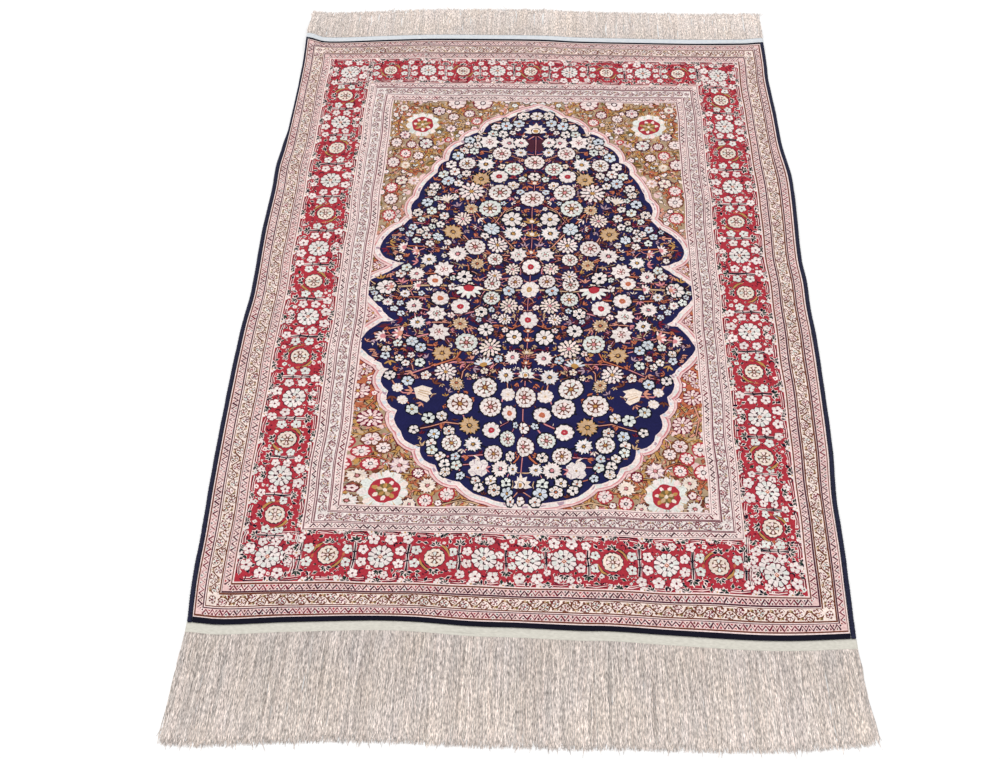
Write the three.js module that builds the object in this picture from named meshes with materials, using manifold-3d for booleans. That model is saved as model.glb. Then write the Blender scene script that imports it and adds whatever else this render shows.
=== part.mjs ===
// A hand-knotted silk rug, lying flat. It is made of a knotted body, an overcast cord down each side, and at each
// end a flat-woven heading whose loose warps are the fringe. Millimetres, +Z up. X runs across the rug and Y along
// it, with the long fringe at -Y. The origin is under the middle of the whole rug, on the floor.
import * as THREE from "three";
import { mergeVertices } from "three/addons/utils/BufferGeometryUtils.js";
import Module from "manifold-3d";

const wasm = await Module();
wasm.setup();

// Driving dimensions
const BODY_WIDTH = 882;
const BODY_LENGTH = 1216;
const BODY_THICK = 2.6; // foundation and pile together
const CORD_WIDTH = 7.2; // the overcast side cord, seen from above
const CORD_TUCKED = 3.6; // its width where it has rolled under, at the far end of the left side
const CORD_HEIGHT = 3.2;
const HEADING_WIDTH = 15; // the flat-woven strip between the body and the fringe
const HEADING_THICK = 1.3;
const GAP = 0.3; // between neighbouring pieces

const HALF_WIDTH = BODY_WIDTH / 2;
const HALF_LENGTH = BODY_LENGTH / 2;
const CELLS_ACROSS = 26;
const CELLS_ALONG = 38;

const COLOUR = { pile: 0x9c4148, cord: 0x1c1a38, fringe: 0xd8d2c6 };

// How far each edge of the real rug strays from a true rectangle. Each row holds where along the edge it is and the
// shift there: +X is right and +Y is away, for all four edges.
const LEFT_EDGE = [
  { at: -608, shift: 5.5 },
  { at: -550, shift: 0.5 },
  { at: -480, shift: -0.5 },
  { at: -400, shift: -3.5 },
  { at: -250, shift: -6 },
  { at: -110, shift: -5.5 },
  { at: -50, shift: -1.8 },
  { at: 0, shift: -2.2 },
  { at: 100, shift: -4.5 },
  { at: 200, shift: -2.8 },
  { at: 250, shift: -4.2 },
  { at: 300, shift: -0.7 },
  { at: 400, shift: 1.6 },
  { at: 500, shift: 2.3 },
  { at: 608, shift: 1 },
];
const RIGHT_EDGE = [
  { at: -608, shift: -9 },
  { at: -550, shift: -7.5 },
  { at: -480, shift: -5.6 },
  { at: -400, shift: -5.6 },
  { at: -320, shift: 0 },
  { at: -120, shift: 3 },
  { at: -50, shift: 1 },
  { at: 0, shift: 2 },
  { at: 50, shift: -0.6 },
  { at: 200, shift: 4.6 },
  { at: 250, shift: 4.4 },
  { at: 320, shift: -3 },
  { at: 400, shift: -4.8 },
  { at: 500, shift: -9 },
  { at: 550, shift: -7.6 },
  { at: 608, shift: -8.5 },
];
const NEAR_EDGE = [
  { at: -441, shift: -3.5 },
  { at: -400, shift: -6 },
  { at: -310, shift: 0 },
  { at: -200, shift: 4.8 },
  { at: -140, shift: 4.8 },
  { at: -60, shift: 0.8 },
  { at: 0, shift: 0.5 },
  { at: 80, shift: -2 },
  { at: 120, shift: -1.4 },
  { at: 200, shift: -4.8 },
  { at: 300, shift: -8.6 },
  { at: 360, shift: -8 },
  { at: 441, shift: -3 },
];
const FAR_EDGE = [
  { at: -441, shift: -5 },
  { at: -390, shift: -9 },
  { at: -280, shift: -1.8 },
  { at: -200, shift: 2.6 },
  { at: -100, shift: 3.5 },
  { at: 20, shift: 2.8 },
  { at: 80, shift: -1.5 },
  { at: 200, shift: -4 },
  { at: 320, shift: -5 },
  { at: 441, shift: -2 },
];

// Where the rug stands off the floor: soft mounds, each with its centre, its half sizes and its height. The first is
// the curled far left corner, and the second the slightly lifted far right one.
const MOUNDS = [
  { x: -441, y: 612, across: 30, along: 74, height: 7.5 },
  { x: 441, y: 616, across: 42, along: 56, height: 3 },
  { x: -178, y: -625, across: 120, along: 66, height: 2.2 },
  { x: 92, y: -632, across: 84, along: 60, height: 1.4 },
  { x: 452, y: 178, across: 56, along: 120, height: 1.6 },
];

// A smooth curve through the rows of a table, read at one place.
function along(table, at) {
  const last = table.length - 1;
  const x = THREE.MathUtils.clamp(at, table[0].at, table[last].at);
  let i = 0;
  while (i < last - 1 && table[i + 1].at < x) i++;
  const slope = (k) => {
    const before = table[Math.max(k - 1, 0)];
    const after = table[Math.min(k + 1, last)];
    return (after.shift - before.shift) / (after.at - before.at);
  };
  const step = table[i + 1].at - table[i].at;
  const t = (x - table[i].at) / step;
  const blend = t * t * (3 - 2 * t);
  const straight = table[i].shift * (1 - blend) + table[i + 1].shift * blend;
  return straight + step * t * (1 - t) * (slope(i) * (1 - t) - slope(i + 1) * t);
}

// The share of an edge's shift that a point takes: all of it at the edge, and little in the field.
function pull(distance, half) {
  return Math.pow(THREE.MathUtils.clamp(distance / half, 0, 1), 3);
}

// Where a point of the true rectangle lies on the real, uneven rug.
function layOut(x, y) {
  const sideways = pull(-x, HALF_WIDTH) * along(LEFT_EDGE, y) + pull(x, HALF_WIDTH) * along(RIGHT_EDGE, y);
  const lengthways = pull(-y, HALF_LENGTH) * along(NEAR_EDGE, x) + pull(y, HALF_LENGTH) * along(FAR_EDGE, x);
  return { x: x + sideways, y: y + lengthways };
}

// The height of the rug's underside over the floor.
function lift(x, y) {
  return MOUNDS.reduce((sum, m) => {
    const r2 = ((x - m.x) / m.across) ** 2 + ((y - m.y) / m.along) ** 2;
    return sum + (r2 < 1 ? m.height * (1 - r2) ** 2 : 0);
  }, 0);
}

// Grid lines from -half to half, closer together towards the ends.
const EVEN_SHARE = 0.7;
function gridLine(share, half) {
  return half * (EVEN_SHARE * share + (1 - EVEN_SHARE) * Math.sin((share * Math.PI) / 2));
}

// Moves every vertex of a geometry by a function of its place.
function shaped(geometry, place) {
  const position = geometry.getAttribute("position");
  for (let i = 0; i < position.count; i++) {
    const p = place(position.getX(i), position.getY(i), position.getZ(i));
    position.setXYZ(i, p.x, p.y, p.z);
  }
  return geometry;
}

function material(color, roughness) {
  return new THREE.MeshStandardMaterial({ color, roughness, metalness: 0 });
}

function named(name, geometry, surface) {
  const mesh = new THREE.Mesh(geometry, surface);
  mesh.name = name;
  return mesh;
}

// The knotted body: a thin slab on a grid, laid out with the rug's uneven edges and lifted corners.
function body() {
  const slab = new THREE.BoxGeometry(2, 2, 1, CELLS_ACROSS, CELLS_ALONG, 1);
  return shaped(slab, (u, v, w) => {
    const p = layOut(gridLine(u, HALF_WIDTH), gridLine(v, HALF_LENGTH));
    return { x: p.x, y: p.y, z: lift(p.x, p.y) + (w + 0.5) * BODY_THICK };
  });
}

// The width of the cord on one side. The left one has rolled half under the body at its far end.
const TUCKED_FROM = 300;
const TUCKED_BY = 350;
function cordWidth(side, y) {
  const tucked = side < 0 ? THREE.MathUtils.smoothstep(y, TUCKED_FROM, TUCKED_BY) : 0;
  return THREE.MathUtils.lerp(CORD_WIDTH, CORD_TUCKED, tucked);
}

// The overcast cord down one side: a flattened eight-sided bar that follows the body's edge. side is -1 or 1.
function sideCord(side) {
  const sides = 8;
  const flatDown = Math.PI / sides;
  const reach = Math.cos(flatDown);
  const bar = new THREE.CylinderGeometry(1, 1, 2, sides, CELLS_ALONG, false, flatDown);
  return shaped(bar, (u, v, w) => {
    const p = layOut(side * HALF_WIDTH, gridLine(v, HALF_LENGTH));
    const width = cordWidth(side, p.y);
    const x = p.x + side * (GAP + width / 2) + (u / reach) * (width / 2);
    return { x, y: p.y, z: lift(p.x, p.y) + (w / reach + 1) * (CORD_HEIGHT / 2) };
  });
}

// The two ends. toward is the direction of the fringe, lean is how far the outermost strands drift outwards, and
// lengths give the fringe's length across the rug, to which no strand adds.
const NEAR_END = {
  name: "fringe_near",
  toward: -1,
  lean: 5,
  lengths: [
    { at: -450, shift: 153 },
    { at: -60, shift: 150 },
    { at: 180, shift: 143 },
    { at: 450, shift: 128 },
  ],
};
const FAR_END = {
  name: "fringe_far",
  toward: 1,
  lean: 1,
  lengths: [
    { at: -450, shift: 82 },
    { at: 0, shift: 86 },
    { at: 450, shift: 84 },
  ],
};

const STRANDS = 148; // at each end
const STRAND_STEPS = 3;
const STRAND = { width: 4.3, tipWidth: 1.8, root: 1.0, height: 2.1, sway: 0.5, ragged: 9, sunk: 4 };

// The edge of the body at one end.
function endLine(share, end) {
  return layOut(gridLine(share, HALF_WIDTH), end.toward * HALF_LENGTH);
}

// How far the heading goes on past a side of the body, over the end of the cord there.
function overCord(side, end) {
  return side * (GAP + cordWidth(side, end.toward * HALF_LENGTH));
}

// The heading: a thin woven strip that follows the end of the body.
const HEADING_CELLS = CELLS_ACROSS + 2;
function heading(end) {
  const strip = new THREE.BoxGeometry(2, 1, 1, HEADING_CELLS, 1, 1);
  return shaped(strip, (u, v, w) => {
    const p = endLine(THREE.MathUtils.clamp((u * HEADING_CELLS) / CELLS_ACROSS, -1, 1), end);
    const x = p.x + (Math.abs(u) > 0.999 ? overCord(Math.sign(u), end) : 0);
    const out = end.toward * v + 0.5; // 0 beside the body, 1 at the roots of the fringe
    const y = p.y + end.toward * (GAP + out * HEADING_WIDTH);
    return { x, y, z: lift(x, y) + (w + 0.5) * HEADING_THICK };
  });
}

// A steady pseudo-random number from -1 to 1 for a strand.
function scatter(n, salt) {
  const s = Math.sin(n * 12.9898 + salt * 78.233) * 43758.5453;
  return 2 * (s - Math.floor(s)) - 1;
}

// One lock of the fringe: a three-sided strand with its flat side on the floor, from inside the heading to its tip.
function strand(index, end) {
  const share = (2 * (index + 0.5)) / STRANDS - 1;
  const left = endLine(-1, end).x + overCord(-1, end);
  const right = endLine(1, end).x + overCord(1, end);
  const margin = STRAND.width / 2;
  const rootX = (left + right) / 2 + share * ((right - left) / 2 - margin);
  const edgeX = THREE.MathUtils.clamp(rootX, -HALF_WIDTH, HALF_WIDTH);
  const rootY = layOut(edgeX, end.toward * HALF_LENGTH).y + end.toward * (GAP + HEADING_WIDTH - STRAND.sunk);
  const ragged = STRAND.ragged * Math.abs(scatter(index, 1));
  const length = along(end.lengths, rootX) + STRAND.sunk - ragged;
  const sides = 3;
  const rod = new THREE.CylinderGeometry(1, 1, 1, sides, STRAND_STEPS);
  return shaped(rod, (u, v, w) => {
    const t = end.toward * v + 0.5; // 0 at the root, 1 at the tip
    const free = THREE.MathUtils.smoothstep(t, 0.05, 0.3);
    const width = THREE.MathUtils.lerp(STRAND.width, STRAND.tipWidth, t ** 3);
    const height = THREE.MathUtils.lerp(STRAND.root, STRAND.height, free) * (1 - 0.45 * t ** 2);
    const wave = 1.6 * Math.sin(rootX / 37 + 5 * t) + 1.1 * Math.sin(rootX / 83 - 3 * t);
    const sway = free * (wave + STRAND.sway * scatter(index, 2 + Math.round(t * STRAND_STEPS)));
    const side = (u * 2) / Math.sqrt(3); // -1 and 1 at the two lower edges, 0 at the ridge
    const up = (w + 0.5) / 1.5; // 0 on the floor, 1 at the ridge
    const x = rootX + end.lean * share * t + sway + (side * width) / 2;
    const y = rootY + end.toward * t * length;
    return { x, y, z: lift(x, y) + up * height };
  });
}

// A geometry as a solid for the join, and a solid as a geometry again.
function solid(geometry) {
  const bare = geometry.clone();
  bare.deleteAttribute("normal");
  bare.deleteAttribute("uv");
  const merged = mergeVertices(bare, 1e-4);
  const vertProperties = new Float32Array(merged.getAttribute("position").array);
  const triVerts = new Uint32Array(merged.index.array);
  return new wasm.Manifold(new wasm.Mesh({ numProp: 3, vertProperties, triVerts }));
}

function fromSolid(manifold) {
  const mesh = manifold.getMesh();
  const geometry = new THREE.BufferGeometry();
  geometry.setAttribute("position", new THREE.BufferAttribute(new Float32Array(mesh.vertProperties), 3));
  geometry.setIndex(new THREE.BufferAttribute(new Uint32Array(mesh.triVerts), 1));
  geometry.computeVertexNormals();
  return geometry;
}

// A heading with its fringe grown out of it, as one solid.
function fringedEnd(end) {
  let joined = solid(heading(end));
  for (let i = 0; i < STRANDS; i++) joined = joined.add(solid(strand(i, end)));
  return fromSolid(joined);
}

const rug = new THREE.Group();
const onFloor = new THREE.Group();
rug.add(onFloor);
onFloor.add(named("rug_body", body(), material(COLOUR.pile, 0.6)));
onFloor.add(named("side_cord_left", sideCord(-1), material(COLOUR.cord, 0.7)));
onFloor.add(named("side_cord_right", sideCord(1), material(COLOUR.cord, 0.7)));
onFloor.add(named(FAR_END.name, fringedEnd(FAR_END), material(COLOUR.fringe, 0.8)));
onFloor.add(named(NEAR_END.name, fringedEnd(NEAR_END), material(COLOUR.fringe, 0.8)));

// The middle of the whole rug, fringes and all, goes over the origin.
const middle = new THREE.Box3().setFromObject(onFloor, true).getCenter(new THREE.Vector3());
onFloor.position.set(-middle.x, -middle.y, 0);

export default rug;
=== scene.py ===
"""A silk rug lying flat: its knotted pile, overcast sides, flat-woven headings and loose fringes."""

import math
import random

import bpy
import numpy as np
from mathutils import Matrix, Vector
from mathutils.geometry import delaunay_2d_cdt


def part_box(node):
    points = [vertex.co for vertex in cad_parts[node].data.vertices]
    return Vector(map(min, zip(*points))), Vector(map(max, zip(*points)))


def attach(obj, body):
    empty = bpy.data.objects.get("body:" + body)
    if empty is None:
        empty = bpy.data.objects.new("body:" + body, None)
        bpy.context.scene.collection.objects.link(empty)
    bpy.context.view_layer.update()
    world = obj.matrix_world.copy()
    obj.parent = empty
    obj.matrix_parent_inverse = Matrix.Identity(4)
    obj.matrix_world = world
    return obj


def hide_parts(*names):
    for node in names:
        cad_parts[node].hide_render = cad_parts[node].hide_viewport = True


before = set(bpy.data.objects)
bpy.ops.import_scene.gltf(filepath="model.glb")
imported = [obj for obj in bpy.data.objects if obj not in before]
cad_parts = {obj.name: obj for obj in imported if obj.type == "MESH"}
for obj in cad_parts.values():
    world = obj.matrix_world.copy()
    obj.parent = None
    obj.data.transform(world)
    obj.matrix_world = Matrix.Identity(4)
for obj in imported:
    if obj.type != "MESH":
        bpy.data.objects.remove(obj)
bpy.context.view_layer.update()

# Sizes in millimetres, the same as the solids have. The drawing is made on a true rectangle
# with its origin in the middle of the cloth, and is then laid out on the uneven rug.
BODY_WIDTH = 882
BODY_LENGTH = 1216
BODY_THICK = 2.6
CORD_WIDTH = 7.2
CORD_TUCKED = 3.6
CORD_HEIGHT = 3.2
HEADING_WIDTH = 15
HEADING_THICK = 1.3
GAP = 0.3
HALF_WIDTH = BODY_WIDTH / 2
HALF_LENGTH = BODY_LENGTH / 2
FOUNDATION_THICK = 1.2

# How far the pile's edge reaches down past the top of the foundation.
PILE_OVERLAP = 0.4
MM = 0.001

# Rows of where along the edge, and how far the edge strays there: +X is right and +Y is away.
LEFT_EDGE = [
    (-608, 5.5), (-550, 0.5), (-480, -0.5), (-400, -3.5), (-250, -6), (-110, -5.5), (-50, -1.8),
    (0, -2.2), (100, -4.5), (200, -2.8), (250, -4.2), (300, -0.7), (400, 1.6), (500, 2.3), (608, 1),
]
RIGHT_EDGE = [
    (-608, -9), (-550, -7.5), (-480, -5.6), (-400, -5.6), (-320, 0), (-120, 3), (-50, 1), (0, 2),
    (50, -0.6), (200, 4.6), (250, 4.4), (320, -3), (400, -4.8), (500, -9), (550, -7.6), (608, -8.5),
]
NEAR_EDGE = [
    (-441, -3.5), (-400, -6), (-310, 0), (-200, 4.8), (-140, 4.8), (-60, 0.8), (0, 0.5),
    (80, -2), (120, -1.4), (200, -4.8), (300, -8.6), (360, -8), (441, -3),
]
FAR_EDGE = [
    (-441, -5), (-390, -9), (-280, -1.8), (-200, 2.6), (-100, 3.5), (20, 2.8), (80, -1.5),
    (200, -4), (320, -5), (441, -2),
]

# Soft mounds where the rug stands off the floor: x, y, half width, half length, height.
MOUNDS = [
    (-441, 612, 30, 74, 7.5),
    (441, 616, 42, 56, 3),
    (-178, -625, 120, 66, 2.2),
    (92, -632, 84, 60, 1.4),
    (452, 178, 56, 120, 1.6),
]

# The bands of the design, as boxes: left, right, near, far.
CLOTH = (-441, 441, -608, 608)
GUARDED = (-441, 441, -601, 603)
BORDER = (-390, 386.5, -549, 550)
INNER_GUARD = (-310, 308, -470, 480)
FIELD = (-258, 262, -428, 430)

# The field is the same on both sides of an axis that leans a little.
AXIS_X = 1.5
AXIS_LEAN = 0.0172

# Below this the ground of the medallion is clear between its flowers.
CLEAR_BELOW = -205

# Below this the corners have redder yarns, and are crowded right up to the medallion.
LOWER_CORNERS = -150


def eased(t):
    """A share that starts and ends gently."""
    return t * t * (3 - 2 * t)


def along(table, at):
    """A smooth curve through the rows of a table, read at one or many places."""
    rows = np.array(table, float)
    ats, shifts = rows[:, 0], rows[:, 1]
    slopes = np.gradient(shifts, ats)
    slopes[1:-1] = (shifts[2:] - shifts[:-2]) / (ats[2:] - ats[:-2])
    at = np.clip(at, ats[0], ats[-1])
    i = np.clip(np.searchsorted(ats, at, side="right") - 1, 0, len(rows) - 2)
    step = ats[i + 1] - ats[i]
    t = (at - ats[i]) / step
    blend = eased(t)
    straight = shifts[i] * (1 - blend) + shifts[i + 1] * blend
    return straight + step * t * (1 - t) * (slopes[i] * (1 - t) - slopes[i + 1] * t)


def within(places, box):
    """Which places lie inside a box."""
    left, right, near, far = box
    xs, ys = places[:, 0], places[:, 1]
    return (xs >= left) & (xs <= right) & (ys >= near) & (ys <= far)


def pull(distance, half):
    """The share of an edge's shift that a point takes: all at the edge, and little further in."""
    return np.clip(distance / half, 0, 1) ** 8


def lay_out(x, y):
    """Where points of the true rectangle lie on the real rug, with the hand's small wanderings."""
    sideways = pull(-x, HALF_WIDTH) * along(LEFT_EDGE, y) + pull(x, HALF_WIDTH) * along(RIGHT_EDGE, y)
    lengthways = pull(-y, HALF_LENGTH) * along(NEAR_EDGE, x) + pull(y, HALF_LENGTH) * along(FAR_EDGE, x)
    free_x = 1 - np.clip(np.abs(x) / HALF_WIDTH, 0, 1) ** 12
    free_y = 1 - np.clip(np.abs(y) / HALF_LENGTH, 0, 1) ** 12
    wander_x = 0.8 * np.sin(y / 31 + x / 140) + 0.6 * np.sin(y / 17 - x / 60 + 2)
    wander_y = 0.9 * np.sin(x / 29 - y / 150 + 1) + 0.6 * np.sin(x / 16 + y / 70)
    return x + sideways + free_x * wander_x, y + lengthways + free_y * wander_y


def lift(x, y):
    """The height of the rug's underside over the floor."""
    height = np.zeros_like(np.asarray(x, float))
    for mound_x, mound_y, across, length, high in MOUNDS:
        r2 = ((x - mound_x) / across) ** 2 + ((y - mound_y) / length) ** 2
        height = height + high * np.clip(1 - r2, 0, 1) ** 2
    return height


def middle_of_rug():
    """How far the solids were moved to put the middle of the whole rug over the origin."""
    low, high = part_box("rug_body")
    around = np.linspace(-1, 1, 201)
    left, _ = lay_out(np.full(201, -HALF_WIDTH), around * HALF_LENGTH)
    right, _ = lay_out(np.full(201, HALF_WIDTH), around * HALF_LENGTH)
    _, near = lay_out(around * HALF_WIDTH, np.full(201, -HALF_LENGTH))
    _, far = lay_out(around * HALF_WIDTH, np.full(201, HALF_LENGTH))
    shift_x = (low.x + high.x) / MM / 2 - (left.min() + right.max()) / 2
    shift_y = (low.y + high.y) / MM / 2 - (near.min() + far.max()) / 2
    return shift_x, shift_y


SHIFT_X, SHIFT_Y = middle_of_rug()


def to_frame(x, y, z):
    """Points in metres in the row frame, from millimetres on the rug."""
    return np.stack([(x + SHIFT_X) * MM, (y + SHIFT_Y) * MM, z * MM], axis=-1)


# Yarn colours
YARNS = {
    "navy": "#1e1e4a",
    "ink": "#131220",
    "plum": "#2b1024",
    "wine": "#6e1b2f",
    "red": "#aa313d",
    "rose": "#d0858a",
    "pink": "#e3c0bd",
    "blush": "#edd6d2",
    "ivory": "#e7dbd7",
    "cream": "#e6d4c6",
    "mint": "#d9dbd5",
    "sky": "#cdd2da",
    "shell": "#efdcd3",
    "khaki": "#a99176",
    "olive": "#75623a",
    "brown": "#6d3c2b",
    "bark": "#48202f",
    "umber": "#40201c",
    "dusk": "#7d5158",
    "tan": "#c6a482",
    "gold": "#b88a50",
    "orange": "#b9694a",
    "salmon": "#cf8f7a",
    "green": "#22352d",
    "lilac": "#ae919f",
}


def linear(code):
    """A hex colour as linear red, green and blue."""
    parts = [int(code[i : i + 2], 16) / 255 for i in (1, 3, 5)]
    return np.array([c / 12.92 if c <= 0.04045 else ((c + 0.055) / 1.055) ** 2.4 for c in parts])


# How far the knots put a corner of a shape from where the drawing has it.
JITTER = 0.55

# The distance between the extra points inside a large shape, so that it bends with the rug.
MESH = 16

# On the back of the cloth shapes under so many square millimetres are left out.
SMALLEST_ON_BACK = 40

LINEAR = {name: linear(code) for name, code in YARNS.items()}


class Drawing:
    """Flat shapes of yarn inside one box of the rug, each lying over the ones before it."""

    def __init__(self, box, ground, hole=None, fine=True, seed=1, stray=None):
        self.box = box
        self.hole = hole
        self.fine = fine
        self.stray = stray
        self.chance = random.Random(seed)
        self.shapes = []
        self.colours = []
        self.add(rectangle(box), ground, 0)

    def add(self, outline, yarn, tint=0.06):
        """A shape of one yarn, a little lighter or darker by chance."""
        if not self.fine and area(outline) < SMALLEST_ON_BACK:
            return
        shape = np.array(split_long(outline), float)
        if self.stray:
            shape[:, 0] += self.stray(shape[:, 0], shape[:, 1])
        self.shapes.append(shape)
        self.colours.append(LINEAR[yarn] * (1 + self.chance.uniform(-tint, tint)))

    def triangles(self):
        """Plan points, triangles and a colour for each triangle, of what shows from above."""
        outlines = list(self.shapes)
        if self.hole:
            outlines.append(np.array(split_long(rectangle(self.hole))))
        ends = np.round(np.concatenate(edges_in_sight(outlines)), 4)
        points, index = np.unique(ends, axis=0, return_inverse=True)
        edges = index.reshape(2, -1).T
        plan, tris, owners = self.divided(points, edges, outlines)
        edges = straightened(plan, seams(tris, owners), self.on_edge(plan))
        left, right, near, far = self.box
        xs, ys = np.meshgrid(np.arange(left + MESH, right - 2, MESH), np.arange(near + MESH, far - 2, MESH))
        points = np.concatenate([plan, np.stack([xs.ravel(), ys.ravel()], axis=1)])
        used = np.unique(np.concatenate([edges.ravel(), np.arange(len(plan), len(points))]))
        plan, tris, owners = self.divided(points[used], np.searchsorted(used, edges), outlines)
        shown = owners >= 0
        return plan, tris[shown], np.array(self.colours)[owners[shown]]

    def divided(self, points, edges, outlines):
        """Triangles between given edges, each with the shape that it belongs to or -1."""
        pairs = [(int(a), int(b)) for a, b in edges if a != b]
        verts, _, tris, _, _, _ = delaunay_2d_cdt([Vector(p) for p in points], pairs, [], 0, 1e-4, True)
        plan, tris = np.array([v[:] for v in verts]), np.array(tris)
        centres = plan[tris].mean(axis=1)
        owners = topmost(outlines, centres)
        owners[~within(centres, self.box) | (owners == len(self.shapes))] = -1
        return plan, tris, owners

    def on_edge(self, plan):
        """Which points lie on the box or on the edge of its hole."""
        xs, ys = plan[:, 0], plan[:, 1]
        found = np.zeros(len(plan), bool)
        for left, right, near, far in filter(None, (self.box, self.hole)):
            for values, line in ((xs, left), (xs, right), (ys, near), (ys, far)):
                found |= np.abs(values - line) < 0.01
        return found


def seams(tris, owners):
    """The edges between triangles of different shapes, and those that have only one triangle."""
    sides = np.sort(np.concatenate([tris[:, :2], tris[:, 1:], tris[:, ::2]]), axis=1)
    who = np.tile(owners, 3)
    order = np.lexsort((sides[:, 1], sides[:, 0]))
    sides, who = sides[order], who[order]
    twin = np.append((sides[1:] == sides[:-1]).all(axis=1), False)
    inside = np.zeros(len(sides), bool)
    inside[:-1] = twin[:-1] & (who[1:] == who[:-1])
    second = np.append(False, twin[:-1])
    return sides[~inside & ~second]


def straightened(plan, edges, fixed, slack=0.13, longest=16):
    """The same edges without the points that lie on nearly straight runs."""
    links = [[] for _ in range(len(plan))]
    for a, b in edges.tolist():
        links[a].append(b)
        links[b].append(a)
    spots = plan.tolist()
    for _ in range(3):
        locked = set()
        for v, near in enumerate(links):
            if len(near) != 2 or fixed[v] or v in locked:
                continue
            a, b = near
            if a == b or a in locked or b in locked or b in links[a]:
                continue
            (ax, ay), (bx, by), (x, y) = spots[a], spots[b], spots[v]
            length = math.hypot(bx - ax, by - ay)
            if length > longest or abs((bx - ax) * (y - ay) - (by - ay) * (x - ax)) > slack * length:
                continue
            links[a][links[a].index(v)] = b
            links[b][links[b].index(v)] = a
            links[v] = []
            locked.update((a, b))
    return np.array([(v, w) for v, near in enumerate(links) for w in near if v < w])


def area(outline):
    """The area inside a closed outline."""
    following = outline[1:] + outline[:1]
    return abs(sum(x0 * y1 - x1 * y0 for (x0, y0), (x1, y1) in zip(outline, following))) / 2


def split_long(outline, longest=14):
    """The same outline with extra points on its long edges, so that they bend with the rug."""
    points = []
    for (x0, y0), (x1, y1) in zip(outline, outline[1:] + outline[:1]):
        count = max(1, math.ceil(math.hypot(x1 - x0, y1 - y0) / longest))
        points += [(x0 + (x1 - x0) * i / count, y0 + (y1 - y0) * i / count) for i in range(count)]
    return points


def edges_in_sight(outlines):
    """The start and end points of every edge that later outlines don't cover wholly."""
    starts = np.concatenate(outlines)
    ends = np.concatenate([np.roll(outline, -1, axis=0) for outline in outlines])
    owner = np.repeat(np.arange(len(outlines)), [len(outline) for outline in outlines])
    shares = (0.03, 0.35, 0.65, 0.97)
    spots = np.concatenate([starts + (ends - starts) * share for share in shares])
    hidden = (topmost(outlines, spots).reshape(len(shares), -1) > owner).all(axis=0)
    return starts[~hidden], ends[~hidden]


def topmost(outlines, centres):
    """The last outline over each point, or -1 where there is none."""
    order = np.argsort(centres[:, 0])
    xs, ys = centres[order, 0], centres[order, 1]
    found = np.full(len(centres), -1)
    for index, outline in enumerate(outlines):
        low, high = outline.min(axis=0), outline.max(axis=0)
        first, last = np.searchsorted(xs, (low[0], high[0]))
        band = ys[first:last]
        near = first + np.nonzero((band > low[1]) & (band < high[1]))[0]
        if len(near):
            found[near[points_inside(outline, xs[near], ys[near])]] = index
    owners = np.empty_like(found)
    owners[order] = found
    return owners


def points_inside(outline, xs, ys):
    """Which points lie inside a closed outline."""
    inside = np.zeros(len(xs), bool)
    corners = outline.tolist()
    x0, y0 = corners[-1]
    above = y0 > ys
    for x1, y1 in corners:
        next_above = y1 > ys
        if y0 != y1:
            inside ^= (above != next_above) & (xs < x0 + (x1 - x0) * (ys - y0) / (y1 - y0))
        x0, y0, above = x1, y1, next_above
    return inside


def rectangle(box):
    """The outline of a box."""
    left, right, near, far = box
    return [(left, near), (right, near), (right, far), (left, far)]


class Pen:
    """Draws in its own coordinates, which may lie anywhere on the rug, turned or mirrored."""

    def __init__(self, drawing, place=(1, 0, 0, 1, 0, 0)):
        self.drawing = drawing
        self.place = place
        self.fine = drawing.fine
        self.chance = drawing.chance

    def at(self, x, y, turn=0.0, size=1.0, flip=1):
        """A pen at a point of this one, turned by an angle in degrees."""
        a, b, c, d, e, f = self.place
        cos, sin = size * math.cos(math.radians(turn)), size * math.sin(math.radians(turn))
        along_x = (a * cos + c * sin, b * cos + d * sin)
        along_y = (flip * (c * cos - a * sin), flip * (d * cos - b * sin))
        return Pen(self.drawing, along_x + along_y + (a * x + c * y + e, b * x + d * y + f))

    def fill(self, outline, yarn, tint=0.06):
        """A shape of yarn, with each corner a little off, as knots make it."""
        a, b, c, d, e, f = self.place
        points = []
        for p in outline:
            x, y = a * p[0] + c * p[1] + e, b * p[0] + d * p[1] + f
            points.append((x + JITTER * math.sin(13 * x + 7 * y), y + JITTER * math.sin(9 * x - 11 * y)))
        self.drawing.add(points, yarn, tint)

    def stroke(self, line, width, yarn, closed=False):
        """A band of yarn along a line. The width is one number, or one for each point."""
        count = len(line)
        widths = width if hasattr(width, "__len__") else [width] * count
        left, right = [], []
        for i, (x, y) in enumerate(line):
            before = line[i - 1] if i or closed else line[0]
            after = line[(i + 1) % count] if i < count - 1 or closed else line[-1]
            dx, dy = after[0] - before[0], after[1] - before[1]
            size = math.hypot(dx, dy) or 1
            half = widths[i] / 2
            left.append((x - dy / size * half, y + dx / size * half))
            right.append((x + dy / size * half, y - dx / size * half))
        if not closed:
            self.fill(left + right[::-1], yarn, 0)
            return
        for i in range(count):
            j = (i + 1) % count
            self.fill([left[i], right[i], right[j], left[j]], yarn, 0)


# Small shapes that the motifs are made of


def ring(radius, sides=8, turn=0.0, squeeze=1.0):
    """A regular polygon, or one squeezed along Y."""
    angles = [turn + 2 * math.pi * i / sides for i in range(sides)]
    return [(radius * math.cos(a), squeeze * radius * math.sin(a)) for a in angles]


def lobes(radius, count, depth, turn=0.0):
    """A scalloped outline with rounded bumps."""
    points = []
    for i in range(4 * count):
        bump = abs(math.sin(math.pi * i / 4))
        reach = radius * (1 - depth * (1 - bump))
        angle = turn + 2 * math.pi * (i / 4) / count
        points.append((reach * math.cos(angle), reach * math.sin(angle)))
    return points


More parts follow.
